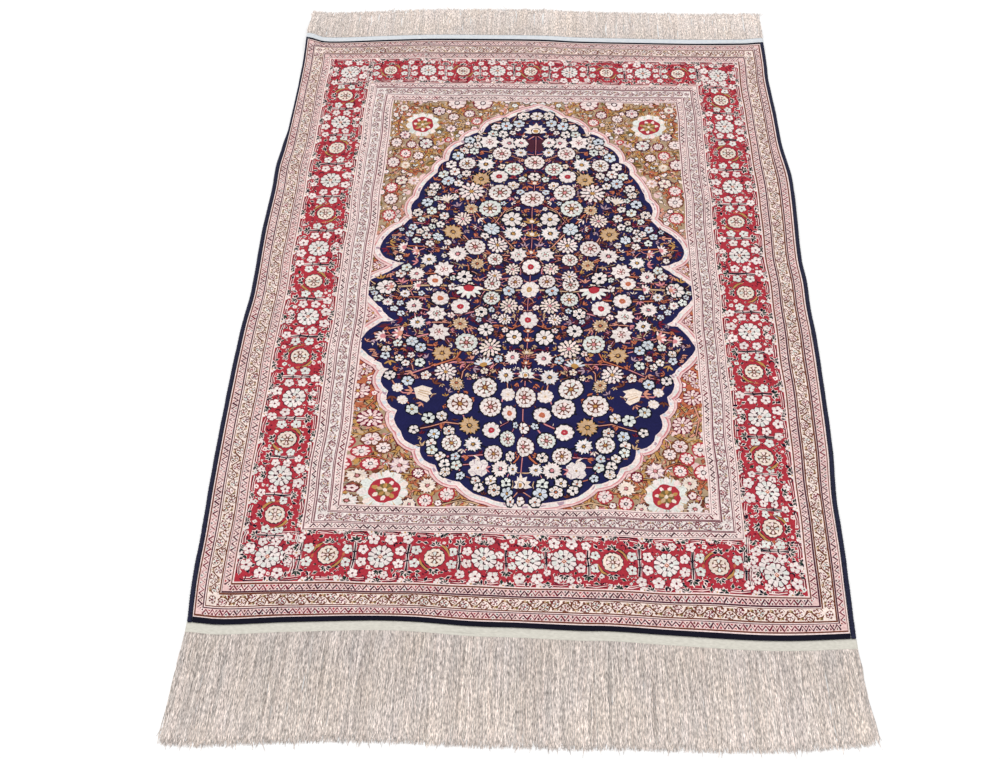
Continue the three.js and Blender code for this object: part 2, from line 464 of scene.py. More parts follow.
def arc(x, y, radius, start, end, steps):
    """Points on an arc between two angles in degrees."""
    angles = [math.radians(start + (end - start) * i / steps) for i in range(steps + 1)]
    return [(x + radius * math.cos(a), y + radius * math.sin(a)) for a in angles]


def bow(start, end, bulge, steps=5):
    """Points from start to end on a shallow curve that bulges to the right by so much."""
    (x0, y0), (x1, y1) = start, end
    size = math.hypot(x1 - x0, y1 - y0) or 1
    side_x, side_y = (y1 - y0) / size, -(x1 - x0) / size
    points = []
    for i in range(steps + 1):
        t = i / steps
        out = 4 * bulge * t * (1 - t)
        points.append((x0 + (x1 - x0) * t + side_x * out, y0 + (y1 - y0) * t + side_y * out))
    return points


def round_petal(inner, outer, half):
    """A petal along +X with a blunt end."""
    middle = inner + 0.62 * (outer - inner)
    return [(inner, 0), (middle, -half), (outer, -0.45 * half), (outer, 0.45 * half), (middle, half)]


def pointed_petal(inner, outer, half):
    """A petal along +X with a sharp end."""
    middle = inner + 0.5 * (outer - inner)
    return [(inner, 0), (middle, -half), (outer, 0), (middle, half)]


def petals(pen, count, inner, outer, fullness, yarns, shape=round_petal, turn=0.0):
    """A ring of petals that take their yarns in turn. At fullness 1 they touch."""
    half = fullness * math.tan(math.pi / count) * (inner + 0.62 * (outer - inner))
    for i in range(count):
        petal_pen = pen.at(0, 0, turn + 360 * i / count)
        petal_pen.fill(shape(inner, outer, half), yarns[i % len(yarns)], 0.07)


def wedges(pen, count, inner, outer, width, yarn, turn=0.0):
    """Thin dark notches that part the petals of a scalloped flower."""
    for i in range(count):
        notch = pen.at(0, 0, turn + 360 * i / count)
        notch.fill([(inner, 0), (outer, -width / 2), (outer, width / 2)], yarn)


def leaf(pen, length, width, yarn, edge="plum"):
    """A leaf that points along +X from the pen's place, with a dark edge of 1.1 mm."""
    if edge and pen.fine:
        bow_y = 0.5 * width + 1.1
        pen.fill([(-1.1, 0), (0.4 * length, -bow_y), (length + 1.1, 0), (0.4 * length, bow_y)], edge)
    near_y, far_y = 0.5 * width, 0.36 * width
    low = [(0, 0), (0.3 * length, -near_y), (0.7 * length, -far_y)]
    high = [(length, 0), (0.7 * length, far_y), (0.3 * length, near_y)]
    pen.fill(low + high, yarn, 0.1)


# Flowers. Each is drawn about the pen's place with a radius in millimetres.


def plain_back(pen, radius, heart, yarns):
    """How any flower shows on the back of the cloth."""
    pen.fill(ring(radius, 8), yarns[0])
    pen.fill(ring(0.4 * radius, 5), heart)


def daisy(pen, radius, heart="gold", yarns=("ivory",), edge="plum"):
    """A simple flower of five to eight rounded petals."""
    if not pen.fine:
        return plain_back(pen, radius, heart, yarns)
    count = 8 if radius > 11.5 else 6 if radius > 8.5 else 5
    pen.fill(ring(radius + 2.2, count + 2), edge)
    pen.fill(lobes(radius, count, 0.22), yarns[0])
    wedges(pen, count, 0.2 * radius, 0.92 * radius, 1.5, edge)
    if len(yarns) > 1:
        petals(pen, count, 0.45 * radius, 0.82 * radius, 0.3, (yarns[1],), pointed_petal, 180 / count)
    pen.fill(ring(0.3 * radius, 6), edge)
    pen.fill(ring(0.2 * radius, 5), heart)


def plain_daisy(pen, radius, heart="cream", yarns=("ivory", "cream"), edge="plum"):
    """A pale flower without a dark edge."""
    if not pen.fine:
        return plain_back(pen, radius, heart, yarns)
    pen.fill(lobes(radius, 9, 0.14), yarns[0])
    wedges(pen, 9, 0.5 * radius, 0.9 * radius, 1.3, "tan")
    pen.fill(ring(0.34 * radius, 7), heart)
    pen.fill(ring(0.14 * radius, 5), "tan")


def disc(pen, radius, heart="rose", yarns=("ivory", "blush"), edge="plum"):
    """A scalloped disc with a ring of small outlined petals inside."""
    if not pen.fine:
        return plain_back(pen, radius, heart, yarns)
    pen.fill(ring(radius + 2, 12), edge)
    pen.fill(lobes(radius, 13, 0.08), yarns[0])
    wedges(pen, 13, 0.7 * radius, 0.97 * radius, 1.0, "brown")
    pen.fill(ring(0.66 * radius, 12), "brown")
    petals(pen, 8, 0.2 * radius, 0.64 * radius, 0.82, (yarns[1], yarns[0]))
    pen.fill(ring(0.24 * radius, 7), "brown")
    pen.fill(ring(0.15 * radius, 5), heart)


def mum(pen, radius, heart="gold", yarns=("ivory", "blush"), edge="plum"):
    """A full flower of two rows of narrow petals."""
    if not pen.fine:
        return plain_back(pen, radius, heart, yarns)
    count = 13 if radius > 15 else 11
    pen.fill(ring(radius + 0.8, 12), edge)
    petals(pen, count, 0.4 * radius, radius, 0.8, yarns, turn=180 / count)
    pen.fill(ring(0.6 * radius, 10), edge)
    petals(pen, 8, 0.16 * radius, 0.62 * radius, 0.84, yarns)
    pen.fill(ring(0.2 * radius, 5), heart)


def spiky(pen, radius, heart="gold", yarns=("ivory", "blush"), edge="plum"):
    """Pointed petals with shorter ones between them."""
    if not pen.fine:
        return plain_back(pen, radius, heart, yarns)
    pen.fill(ring(radius + 0.4, 10), edge)
    petals(pen, 8, 0.3 * radius, 0.9 * radius, 0.72, (yarns[-1],), pointed_petal)
    petals(pen, 8, 0.1 * radius, 1.06 * radius, 0.8, (yarns[0],), pointed_petal, 22.5)
    pen.fill(ring(0.28 * radius, 6), edge)
    pen.fill(ring(0.19 * radius, 5), heart)


def star(pen, radius, heart="rose", yarns=("ivory", "blush"), edge="plum"):
    """Eight broad pointed petals round a small looped middle."""
    if not pen.fine:
        return plain_back(pen, radius, heart, yarns)
    outline = []
    for i in range(16):
        reach = (0.76 if i % 2 else 1.06) * radius
        angle = math.pi * i / 8
        outline.append((reach * math.cos(angle), reach * math.sin(angle)))
    pen.fill(ring(1.04 * radius, 12), edge)
    pen.fill(outline, yarns[0])
    wedges(pen, 8, 0.48 * radius, 0.8 * radius, 1.3, "lilac", 22.5)
    pen.fill(ring(0.42 * radius, 9), "brown")
    petals(pen, 6, 0.1 * radius, 0.4 * radius, 0.8, (yarns[1],))
    pen.fill(ring(0.12 * radius, 5), heart)


def gem(pen, radius, heart="red", yarns=("ivory", "mint"), edge="plum"):
    """A many-petalled white flower with a broad coloured middle."""
    if not pen.fine:
        return plain_back(pen, radius, heart, yarns)
    pen.fill(ring(radius + 2, 11), edge)
    pen.fill(lobes(radius, 10, 0.16), yarns[0])
    wedges(pen, 10, 0.55 * radius, 0.95 * radius, 1.3, "lilac")
    pen.fill(ring(0.46 * radius, 9), yarns[1])
    pen.fill(ring(0.37 * radius, 8), heart)
    pen.fill(ring(0.1 * radius, 4), "rose")


def fan(pen, radius, heart="red", yarns=("ivory", "blush"), edge="plum", spread=210):
    """A flower seen from the side, opening along +X with seven petals."""
    step = spread / 7
    half = 0.5 * math.radians(step) * 0.8 * radius
    rim = arc(0, 0, radius + 0.8, -spread / 2, spread / 2, 8)
    pen.fill([(-0.3 * radius, 0)] + rim, edge)
    for i in range(7):
        petal_pen = pen.at(0, 0, step * (i - 3))
        petal_pen.fill(round_petal(0, radius + 0.6, half * 0.86), yarns[i % len(yarns)])
    pen.fill(arc(0, 0, 0.42 * radius, -spread / 2, spread / 2, 6) + [(-0.25 * radius, 0)], heart)


def quad(pen, radius, heart="gold", yarns=("ivory",), edge="plum"):
    """Four large round petals."""
    for i in range(4):
        lobe_pen = pen.at(0, 0, 45 + 90 * i).at(0.56 * radius, 0)
        lobe_pen.fill(lobes(0.5 * radius, 5, 0.12), yarns[0])
        wedges(lobe_pen, 3, -0.1 * radius, 0.4 * radius, 1.2, "lilac", 36)
    pen.fill(ring(0.14 * radius, 5), heart)


def bell(pen, radius, heart="cream", yarns=("cream",), edge="navy"):
    """A squarish pale blossom with a ragged mouth towards +X."""
    back = [(-1, -3 / radius), (-0.3, -0.85)]
    mouth = [(0.8, -0.9), (0.6, -0.5), (1, -0.2), (0.65, 0.1), (1, 0.5), (0.75, 0.9), (-0.3, 0.8)]
    pen.fill([(x * radius, y * radius) for x, y in back + mouth], yarns[0])
    for y in (-5, 0, 5):
        pen.stroke([(-0.4 * radius, y * 0.7), (0.7 * radius, y)], 1.1, "tan")
    leaf(pen.at(-0.9 * radius, 0, 160), 12, 4, "salmon", None)


def palmette(pen, radius, heart="gold", yarns=("ivory", "mint"), edge="plum"):
    """A flower with a pointed crown of petals along +X and a rounded foot."""
    pen.fill(ring(0.8 * radius, 9), edge)
    for i in range(7):
        turn = -102 + 34 * i
        reach = radius * (1.2 if i == 3 else 1.04)
        pen.at(0, 0, turn).fill(pointed_petal(0, reach, 0.27 * radius), yarns[i % 2])
    pen.fill(ring(0.44 * radius, 9), edge)
    pen.fill(ring(0.36 * radius, 9), yarns[0])
    pen.fill(ring(0.24 * radius, 7), heart)


def small_disc(pen, radius, heart="ivory", yarns=("blush", "ivory"), edge="red"):
    """The rosettes of the corners, pink with a coloured rim."""
    if not pen.fine:
        return plain_back(pen, radius, heart, yarns)
    pen.fill(ring(radius + 2.4, 10), edge)
    pen.fill(lobes(radius, 9, 0.14), yarns[0])
    wedges(pen, 9, 0.4 * radius, radius, 1.7, edge)
    petals(pen, 6, 0.3 * radius, 0.8 * radius, 0.42, (yarns[1],), pointed_petal)
    pen.fill(ring(0.36 * radius, 7), "bark")
    pen.fill(ring(0.24 * radius, 5), heart)


# The field. Its design is the same on both sides of an axis that leans a little.


def axis_at(y):
    """Where the axis of the field is at a height."""
    return AXIS_X + AXIS_LEAN * y


def off_axis(rows):
    """Rows that start with a point of the field, with X as the distance from the axis instead."""
    return [(x - axis_at(y), y, *rest) for x, y, *rest in rows]


# Rows of how far the left half of the field strays from a mirror image of the right: y, shift.
LEFT_STRAY = [
    (-440, 19), (-300, 18), (-250, 13), (-100, 9), (0, 7), (70, 4), (120, -5), (300, -6), (440, -9),
]


def left_stray(x, y):
    """How far points of the field move sideways, as its left half is no exact mirror image."""
    share = np.clip((axis_at(y) - x) / (axis_at(y) - FIELD[0]), 0, 1)
    return along(LEFT_STRAY, y) * (1 - np.exp(-9 * share)) * (1 - share**9)


def half_field(pen, side):
    """A pen for one half of the field, in which X is the distance from the axis."""
    return Pen(pen.drawing, (side, 0, AXIS_LEAN, 1, AXIS_X, 0))


# The right side of the medallion from its top to its foot: x, y, and the bulge of the lobe
# that goes on from there.
MEDALLION = [
    (5, 413, 4), (55, 381, 10), (96, 345, 10), (129, 315, 9), (155, 272, 7), (171, 243, 5),
    (196, 180, 9), (201, 134, 1), (218, 114, 8), (255, 67, 6), (238, 37, 2), (215, 29, 0),
    (236, 11, 1), (264, -12, 1), (264, -34, 1), (240, -68, 3), (217, -94, 0), (237, -96, 2),
    (256, -125, 5), (255, -150, 2), (228, -179, 3), (217, -189, 10), (212, -231, 8),
    (200, -266, 7), (193, -302, 8), (163, -326, 8), (139, -359, 8), (99, -388, 5),
    (57, -413, 3), (-5, -421, 0),
]

# Flowers of the right half: x, y, radius.
PLAIN = [(30, -234, 13), (192, -246, 8), (200, -224, 8)]
WHITE = [
    (134, -273, 9), (154, -277, 10), (123, -300, 9), (145, -305, 9), (175, -298, 8), (148, -321, 8),
    (146, -333, 8), (25, -343, 9), (111, -345, 7), (133, -344, 8), (126, -357, 8), (108, -360, 8),
    (123, -371, 8), (100, -378, 7), (76, -386, 7), (53, -385, 9), (27, -388, 9), (46, -400, 10),
    (24, -405, 11), (70, -397, 8), (17, -418, 8), (178, -262, 10), (82, -72, 11), (39, -27, 11),
    (26, -123, 15), (74, -108, 13), (209, -138, 7), (224, -150, 7), (224, -163, 7), (187, -161, 6),
    (204, -167, 7), (172, -175, 8), (160, -199, 8), (186, -210, 9), (213, -201, 9), (148, 137, 9),
    (171, 149, 9), (195, 144, 9), (201, 110, 8), (180, 105, 7), (154, 117, 8), (169, 205, 9),
    (174, 192, 8), (180, 169, 10), (180, 90, 8), (177, 72, 7), (198, 79, 7), (190, 100, 7),
    (208, 94, 7), (114, 2, 13), (217, 6, 9), (210, 19, 8), (29, 392, 10), (56, 363, 10),
    (74, 359, 8), (61, 341, 9), (78, 341, 8), (105, 329, 8), (119, 323, 9), (105, 311, 8),
    (121, 307, 8), (111, 296, 8), (129, 296, 8), (139, 283, 10), (149, 261, 9), (140, 243, 9),
    (159, 237, 9), (119, 239, 8), (148, 220, 10), (130, 214, 8), (171, 208, 8), (24, 228, 6),
    (38, 212, 9), (15, -289, 6), (236, -22, 15), (34, 132, 16),
]
BLUE = [
    (214, -57, 6), (222, -68, 6), (211, -78, 6), (188, -134, 9), (174, -146, 9), (161, 88, 9),
    (35, 371, 9), (68, 110, 14),
]
DISCS = [
    (58, -256, 17), (68, -220, 18), (31, -313, 14), (54, -339, 15), (58, 195, 17), (71, 157, 19),
    (101, 67, 17), (118, -321, 14), (104, -133, 17), (29, -8, 14), (68, -12, 14), (67, -43, 14),
    (62, 291, 15), (121, 264, 14), (39, 253, 14), (106, -251, 19), (66, 41, 13),
]
MUMS = [
    (106, 195, 19), (65, -144, 17), (130, -192, 16), (36, -59, 16), (63, 73, 18), (116, 130, 16),
    (43, -87, 11), (35, 19, 13), (65, 5, 13),
]
SPIKY = [
    (86, -323, 14), (40, -364, 15), (17, -365, 11), (26, -163, 15), (34, 99, 16), (130, 51, 17),
    (176, 36, 13), (50, 318, 15), (88, 264, 15), (192, -63, 14), (183, -97, 13), (192, 5, 14),
    (35, -198, 15), (30, 320, 12), (207, -37, 9), (232, -54, 8), (30, 295, 10),
]
STARS = [(148, -115, 17), (154, -78, 15), (149, 17, 17), (26, 51, 15), (84, 320, 15)]
GOLDEN = [
    (111, -216, 11), (92, -290, 17), (115, -96, 13), (140, -156, 16), (103, 154, 12), (134, 100, 17),
    (95, 30, 13), (92, 227, 15), (112, -212, 11),
]
PINK = [(206, -119, 12), (230, -125, 11), (228, -22, 9), (186, -21, 10), (196, 55, 9), (217, 63, 11)]
GEMS = [(117, -61, 16), (151, -46, 15), (58, -298, 14), (26, -268, 13), (62, 234, 14), (161, -9, 13)]
SMALL_LEAVES = [
    (23, -102, "orange"), (54, -100, "orange"), (46, -123, "orange"), (110, -167, "orange"),
    (153, -181, "orange"), (15, -213, "orange"), (167, -132, "orange"), (154, -140, "orange"),
    (9, -139, "tan"), (101, -153, "gold"), (96, -194, "tan"), (57, -192, "tan"), (178, -119, "tan"),
    (93, -165, "salmon"), (142, -94, "salmon"), (163, -97, "rose"), (222, 92, "salmon"),
    (228, 53, "salmon"), (212, 43, "orange"), (88, 176, "orange"), (47, 155, "orange"),
    (14, 153, "orange"), (99, 96, "orange"), (162, 55, "orange"), (119, 176, "gold"),
    (161, 75, "gold"), (83, 14, "gold"), (142, 201, "orange"), (182, 22, "tan"), (136, -289, "orange"),
    (95, 292, "orange"), (93, -346, "orange"), (17, -341, "orange"), (36, 233, "red"),
    (228, -107, "orange"), (242, -119, "salmon"), (240, -152, "salmon"), (240, -163, "salmon"),
    (95, -230, "orange"), (86, -240, "orange"), (204, -78, "tan"), (90, -52, "orange"),
]

# Branches of the right half: yarn, width and the points that they pass through.
BRANCHES = [
    ("salmon", 1.8, [(10, 62), (22, 90), (34, 96)]),
    ("salmon", 1.8, [(8, 50), (37, 67), (55, 94), (68, 108)]),
    ("rose", 1.8, [(34, 96), (46, 108), (63, 134), (70, 156)]),
    ("orange", 2.2, [(77, 122), (92, 143), (105, 152), (112, 176), (106, 196)]),
    ("orange", 2.2, [(4, 44), (32, 52), (60, 38), (95, 30), (130, 50)]),
    ("salmon", 1.8, [(118, 92), (104, 66), (80, 52), (30, 48)]),
    ("tan", 3.0, [(18, -26), (70, -27), (130, -18), (176, -20), (228, -22)]),
    ("orange", 2.2, [(120, -44), (160, -46), (214, -44), (236, -40)]),
    ("rose", 1.8, [(36, -58), (78, -66), (116, -78), (150, -78), (190, -66)]),
    ("rose", 1.8, [(40, 0), (80, -6), (114, 2), (150, 14), (176, 36)]),
    ("orange", 2.2, [(150, 8), (190, 4), (228, 8)]),
    ("rose", 1.8, [(150, -8), (196, -8), (232, -12)]),
    ("orange", 2.2, [(130, 58), (176, 64), (212, 66), (246, 65)]),
    ("salmon", 2.2, [(164, 84), (200, 92), (238, 92)]),
    ("rose", 1.8, [(134, 100), (160, 116), (200, 120)]),
    ("orange", 2.2, [(112, 130), (142, 130), (170, 138), (204, 132)]),
    ("rose", 1.8, [(106, 195), (128, 182), (158, 180), (184, 180)]),
    ("salmon", 1.8, [(20, 170), (46, 152), (60, 126), (70, 110)]),
    ("rose", 1.8, [(20, 228), (60, 232), (96, 228), (120, 232), (152, 238)]),
    ("salmon", 1.8, [(20, 276), (60, 290), (92, 296), (112, 298)]),
    ("rose", 1.8, [(8, 340), (26, 322), (50, 318)]),
    ("rose", 1.8, [(58, 196), (80, 214), (92, 228), (88, 262)]),
    ("orange", 2.2, [(2, -92), (30, -106), (52, -100), (86, -104)]),
    ("salmon", 1.8, [(66, -116), (110, -96), (150, -96), (188, -100), (226, -110)]),
    ("rose", 1.8, [(88, -172), (120, -172), (152, -182), (182, -196), (206, -200)]),
    ("orange", 2.2, [(104, -133), (118, -166), (148, -180)]),
    ("rose", 1.8, [(148, -115), (184, -126), (206, -120), (228, -124)]),
    ("salmon", 1.8, [(0, -160), (26, -150), (56, -180), (62, -196)]),
    ("orange", 2.2, [(150, -142), (190, -140), (214, -142)]),
    ("rose", 1.8, [(166, -233), (192, -233), (200, -226)]),
    ("salmon", 1.8, [(92, -290), (128, -284), (152, -292), (176, -298)]),
    ("rose", 1.6, [(20, -276), (30, -284), (58, -298)]),
    ("rose", 1.6, [(58, -340), (104, -345), (134, -344)]),
    ("rose", 1.6, [(82, -358), (108, -360), (124, -358)]),
    ("salmon", 1.8, [(106, -216), (104, -190), (94, -174)]),
    ("orange", 2.0, [(0, -330), (8, -346), (26, -362), (40, -364)]),
]

# Flowers on the axis: y, radius.
AXIS_FLOWERS = [
    (392, 11, daisy, "gold"), (271, 17, disc, "rose"), (235, 10, daisy, "ink"),
    (180, 19, disc, "rose"), (23, 17, gem, "red"), (-25, 17, plain_daisy, "gold"),
    (-88, 17, gem, "red"), (-196, 15, palmette, "gold"), (-238, 19, disc, "rose"),
    (-294, 10, daisy, "orange"), (-326, 17, disc, "rose"), (-417, 8, daisy, "gold"),
]
AXIS_LEAVES = [
    (126, 12, "gold"), (96, 12, "gold"), (55, 10, "orange"), (-110, 9, "orange"),
    (-128, 9, "orange"), (-152, 10, "tan"), (-172, 9, "orange"), (219, 10, "orange"),
]

# The palmettes at the top and at the foot of the axis: y, radius.
END_PALMETTES = [(352, 19), (-391, 17)]
PALE = [("ivory",), ("mint",), ("ivory", "tan"), ("sky",), ("ivory",)]

# What each group of flowers is drawn with: how, its hearts and its petals in turn.
FLOWER_GROUPS = [
    (PLAIN, plain_daisy, ("cream",), (("ivory", "cream"),)),
    (WHITE, daisy, ("gold", "ink", "orange"), PALE),
    (BLUE, daisy, ("gold", "ivory"), (("sky",), ("sky", "mint"))),
    (DISCS, disc, ("rose", "gold"), (("ivory", "blush"), ("ivory", "mint"), ("mint", "blush"))),
    (MUMS, mum, ("gold", "rose"), (("ivory", "blush"), ("cream", "blush"))),
    (SPIKY, spiky, ("gold", "rose"), (("ivory", "sky"), ("ivory", "blush"))),
    (STARS, star, ("rose",), (("ivory", "blush"), ("ivory", "mint"))),
    (GOLDEN, spiky, ("orange", "gold"), (("tan", "cream"), ("tan", "gold"))),
    (PINK, fan, ("salmon", "rose"), (("blush", "rose"), ("blush", "ivory"))),
    (GEMS, gem, ("red", "orange"), (("ivory", "mint"), ("ivory", "blush"))),
]

# The bands round the medallion, each lying over the wider one before it: width, yarn.
MEDALLION_BANDS = [(26, "wine"), (24, "pink"), (18, "rose"), (15, "ivory"), (5, "blush")]

TREE_SEED = 41
LONGEST_STEM = 75

# The right half of the field, as a box that starts at the axis.
HALF_FIELD = (2, 268, -430, 432)

# A list for what is in the way, where nothing is: one tiny place on the axis.
NOTHING = [(0, 0, 1)]


def medallion_outline():
    """The closed outline of the medallion, down its right side and up its left."""
    rows = off_axis(MEDALLION)
    right = []
    for (x0, y0, bulge), (x1, y1, _) in zip(rows, rows[1:]):
        right += [p for p in bow((x0, y0), (x1, y1), -bulge)[:-1] if p[0] > 1]
    down = [(x + axis_at(y), y) for x, y in right]
    up = [(axis_at(y) - x, y) for x, y in reversed(right)]
    top, foot = [(axis_at(y), y) for _, y, _ in (MEDALLION[0], MEDALLION[-1])]
    return [top] + down + [foot] + up


def flower_places():
    """Every flower of the right half, as distance from the axis, height, radius."""
    return [place for group, *_ in FLOWER_GROUPS for place in off_axis(group)]


def draw_stems(pen, places):
    """A thin stem from each flower to a neighbour that is nearer the axis."""
    knots = [(0, float(y), 0) for y in range(-400, 400, 30)]
    for x, y, _ in places:
        near = [
            (math.hypot(x - nx, y - ny), nx, ny)
            for nx, ny, _ in places + knots
            if nx < x - 4 and ny < y + 30
        ]
        if not near or min(near)[0] > LONGEST_STEM:
            continue
        _, nx, ny = min(near)
        line = bow((nx, ny), (x, y), pen.chance.uniform(-5, 5), 3)
        pen.stroke(line, 4.0 if y > CLEAR_BELOW else 2.6, pen.chance.choice(["ink", "plum", "bark"]))
        if pen.fine and pen.chance.random() < 0.8:
            pen.stroke(line, 1.4, pen.chance.choice(["rose", "orange", "tan", "salmon"]))


def scatter(pen, count, box):
    """Chance places in a box, as two rows of numbers."""
    left, right, near, far = box
    xs = np.array([pen.chance.uniform(left, right) for _ in range(count)])
    ys = np.array([pen.chance.uniform(near, far) for _ in range(count)])
    return xs, ys


def fill_gaps(pen, taken, xs, ys, draw, least, most, gap):
    """Draws small shapes at the places where they just fit between those that are there.

    Taken has a place and a radius for each of these. The draw function takes a pen, the size
    that fits, from least to most, and the height of the place."""
    spots = np.array(taken, float)
    for x, y in zip(xs, ys):
        free = float((np.hypot(spots[:, 0] - x, spots[:, 1] - y) - spots[:, 2]).min()) - gap
        if free < least:
            continue
        size = min(free, most)
        draw(pen.at(x, y, pen.chance.uniform(0, 360)), size, y)
        spots = np.vstack([spots, (x, y, 0.9 * size)])


def places_in(pen, count, outline, inside):
    """Chance places of one half of the field that are inside an outline, or outside it."""
    xs, ys = scatter(pen, count, HALF_FIELD)
    allowed = points_inside(np.array(outline), xs, ys) == inside
    return xs[allowed], ys[allowed]


def halved(outline, grow):
    """The right half of an outline, as distances from the axis, moved outwards a little."""
    beyond_axis = [(-20, -440), (-20, 440)]
    return [(x - axis_at(y) + grow, y) for x, y in outline if x > axis_at(y)] + beyond_axis


def field_filler(pen, size, y):
    """What lies between the flowers of the field: small blossoms, buds and sprays of leaves."""
    chance = pen.chance
    if y < CLEAR_BELOW and (size < 3 or chance.random() < 0.7):
        return
    if size > 4.6 and y > CLEAR_BELOW and chance.random() < 0.45:
        yarns = chance.choice([("ivory",), ("ivory",), ("mint",), ("blush",), ("cream",), ("sky",)])
        daisy(pen, size, chance.choice(["gold", "ink", "orange"]), yarns, chance.choice(["plum", "ink"]))
        return
    yarn = chance.choice(["orange", "salmon", "brown", "tan", "wine", "rose", "gold", "shell", "lilac"])
    for turn in (-50, 0, 50) if size > 3.4 else (0,):
        leaf(pen.at(-0.5 * size, 0, turn), 1.6 * size, 0.5 * size, yarn, "plum")


def field_shade(pen, size, y):
    """Darker knots of the ground, with a thin stem through some of them."""
    if y < CLEAR_BELOW and (pen.chance.random() < 0.75 or size > 5):
        return
    pen.fill(ring(size, 6, 0, 0.62), pen.chance.choice(["plum", "bark", "ink", "ink"]), 0.15)
    if size > 3.5:
        yarn = pen.chance.choice(["rose", "brown", "orange", "tan", "salmon", "wine"])
        pen.stroke([(-1.3 * size, -1), (0, 0.8), (1.4 * size, -0.6)], 1.3, yarn)


def draw_branches(pen):
    """The long branches that carry the flowers out from the axis."""
    for yarn, width, points in BRANCHES:
        line = off_axis(points)
        pen.stroke(line, width + 3.4, "plum")
        pen.stroke(line, width, yarn)


def outline_patches(pen, outline):
    """Short runs of other pale yarns in the pale band round the medallion."""
    chance = pen.chance
    for (x0, y0), (x1, y1) in zip(outline, outline[1:]):
        run = math.hypot(x1 - x0, y1 - y0)
        patch = pen.at(x0, y0, math.degrees(math.atan2(y1 - y0, x1 - x0)))
        low, high = chance.uniform(0.5, 3), chance.uniform(4, 7.4)
        yarn = chance.choice(["mint", "blush", "sky", "shell", "lilac", "pink"])
        patch.fill([(0, low), (0.8 * run, low + 0.6), (0.6 * run, high), (0.1 * run, high - 0.8)], yarn)


def draw_medallion(pen):
    """The medallion: its bands, its navy ground and the flowering tree on both sides of the axis."""
    outline = medallion_outline()
    for width, yarn in MEDALLION_BANDS:
        pen.stroke(outline, width, yarn, closed=True)
    if pen.fine:
        outline_patches(pen, outline)
    pen.fill(outline, "navy", 0)
    for side in (1, -1):
        pen.chance.seed(TREE_SEED)
        half = half_field(pen, side)
        draw_undergrowth(half, halved(outline, -7))
        draw_tree_flowers(half)
    draw_axis(pen)


def draw_undergrowth(half, ground):
    """What lies under the large flowers: shaded ground, stems, branches and small blossoms."""
    places = flower_places()
    if half.fine:
        shaded = places_in(half, 1500, ground, True)
        fill_gaps(half, NOTHING, *shaded, field_shade, least=2, most=7, gap=-2.5)
    draw_stems(half, places)
    draw_branches(half)
    if half.fine:
        taken = [(x, y, 1.03 * radius) for x, y, radius in places]
        taken += [(x, y, 7) for x, y, _ in off_axis(SMALL_LEAVES)]
        taken += [(0, y, radius) for y, radius, *_ in AXIS_FLOWERS]
        taken += [(0, y, 4) for y in range(-400, 400, 12)]
        taken += [(0, y, radius) for y, radius in END_PALMETTES]
        open_places = places_in(half, 7000, ground, True)
        fill_gaps(half, taken, *open_places, field_filler, least=2.2, most=7.5, gap=0.3)


def draw_tree_flowers(half):
    """The leaves and flowers of one half of the field."""
    chance = half.chance
    for x, y, yarn in off_axis(SMALL_LEAVES):
        turn = chance.uniform(0, 360)
        for spread in (-44, 0, 44):
            leaf(half.at(x, y, turn + spread).at(-2, 0), 9.5, 3.8, yarn)
    for group, draw, hearts, yarns in FLOWER_GROUPS:
        for i, (x, y, radius) in enumerate(off_axis(group)):
            flower_pen = half.at(x, y, chance.uniform(-20, 20))
            edge = "ink" if y < CLEAR_BELOW else chance.choice(["ink", "plum"])
            size = radius * chance.uniform(0.95, 1.05) * (1.1 if y > 190 else 1)
            draw(flower_pen, size, hearts[i % len(hearts)], yarns[i % len(yarns)], edge)
    quad(half.at(75 - axis_at(-364), -364), 16)
    bell(half.at(163 - axis_at(-232), -232, 200), 15)
    fan(half.at(106 - axis_at(-22), -20, -90), 23, "red", ("ivory", "mint"), "plum", 190)
    fan(half.at(146 - axis_at(172), 172, 78), 15, "cream", ("ivory", "cream"), "plum", 140)
    fan(half.at(73 - axis_at(-175), -178, 90), 15, "gold", ("sky", "ivory"), "plum", 170)


def draw_axis(pen):
    """The stem, flowers and leaves on the line that the design turns about."""
    pen.fill([(-9, 300), (22, 300), (17, 318), (24, 330), (-10, 330), (-4, 318)], "bark")
    stem = [(axis_at(y), y) for y in range(-400, 400, 40)]
    pen.stroke(stem, 4.4, "plum")
    pen.stroke(stem, 1.8, "rose")
    for y, size, yarn in AXIS_LEAVES:
        for turn in (25, 60, 90, 120, 155):
            leaf(pen.at(axis_at(y), y - 0.4 * size, turn), size * 1.25, size * 0.42, yarn)
        pen.at(axis_at(y), y).fill(ring(0.34 * size, 7), "cream")
    for y, radius, draw, heart in AXIS_FLOWERS:
        draw(pen.at(axis_at(y), y, 90), radius, heart)
    for y, radius in END_PALMETTES:
        palmette(pen.at(axis_at(y), y, 90), radius, "gold", ("ivory", "cream"))


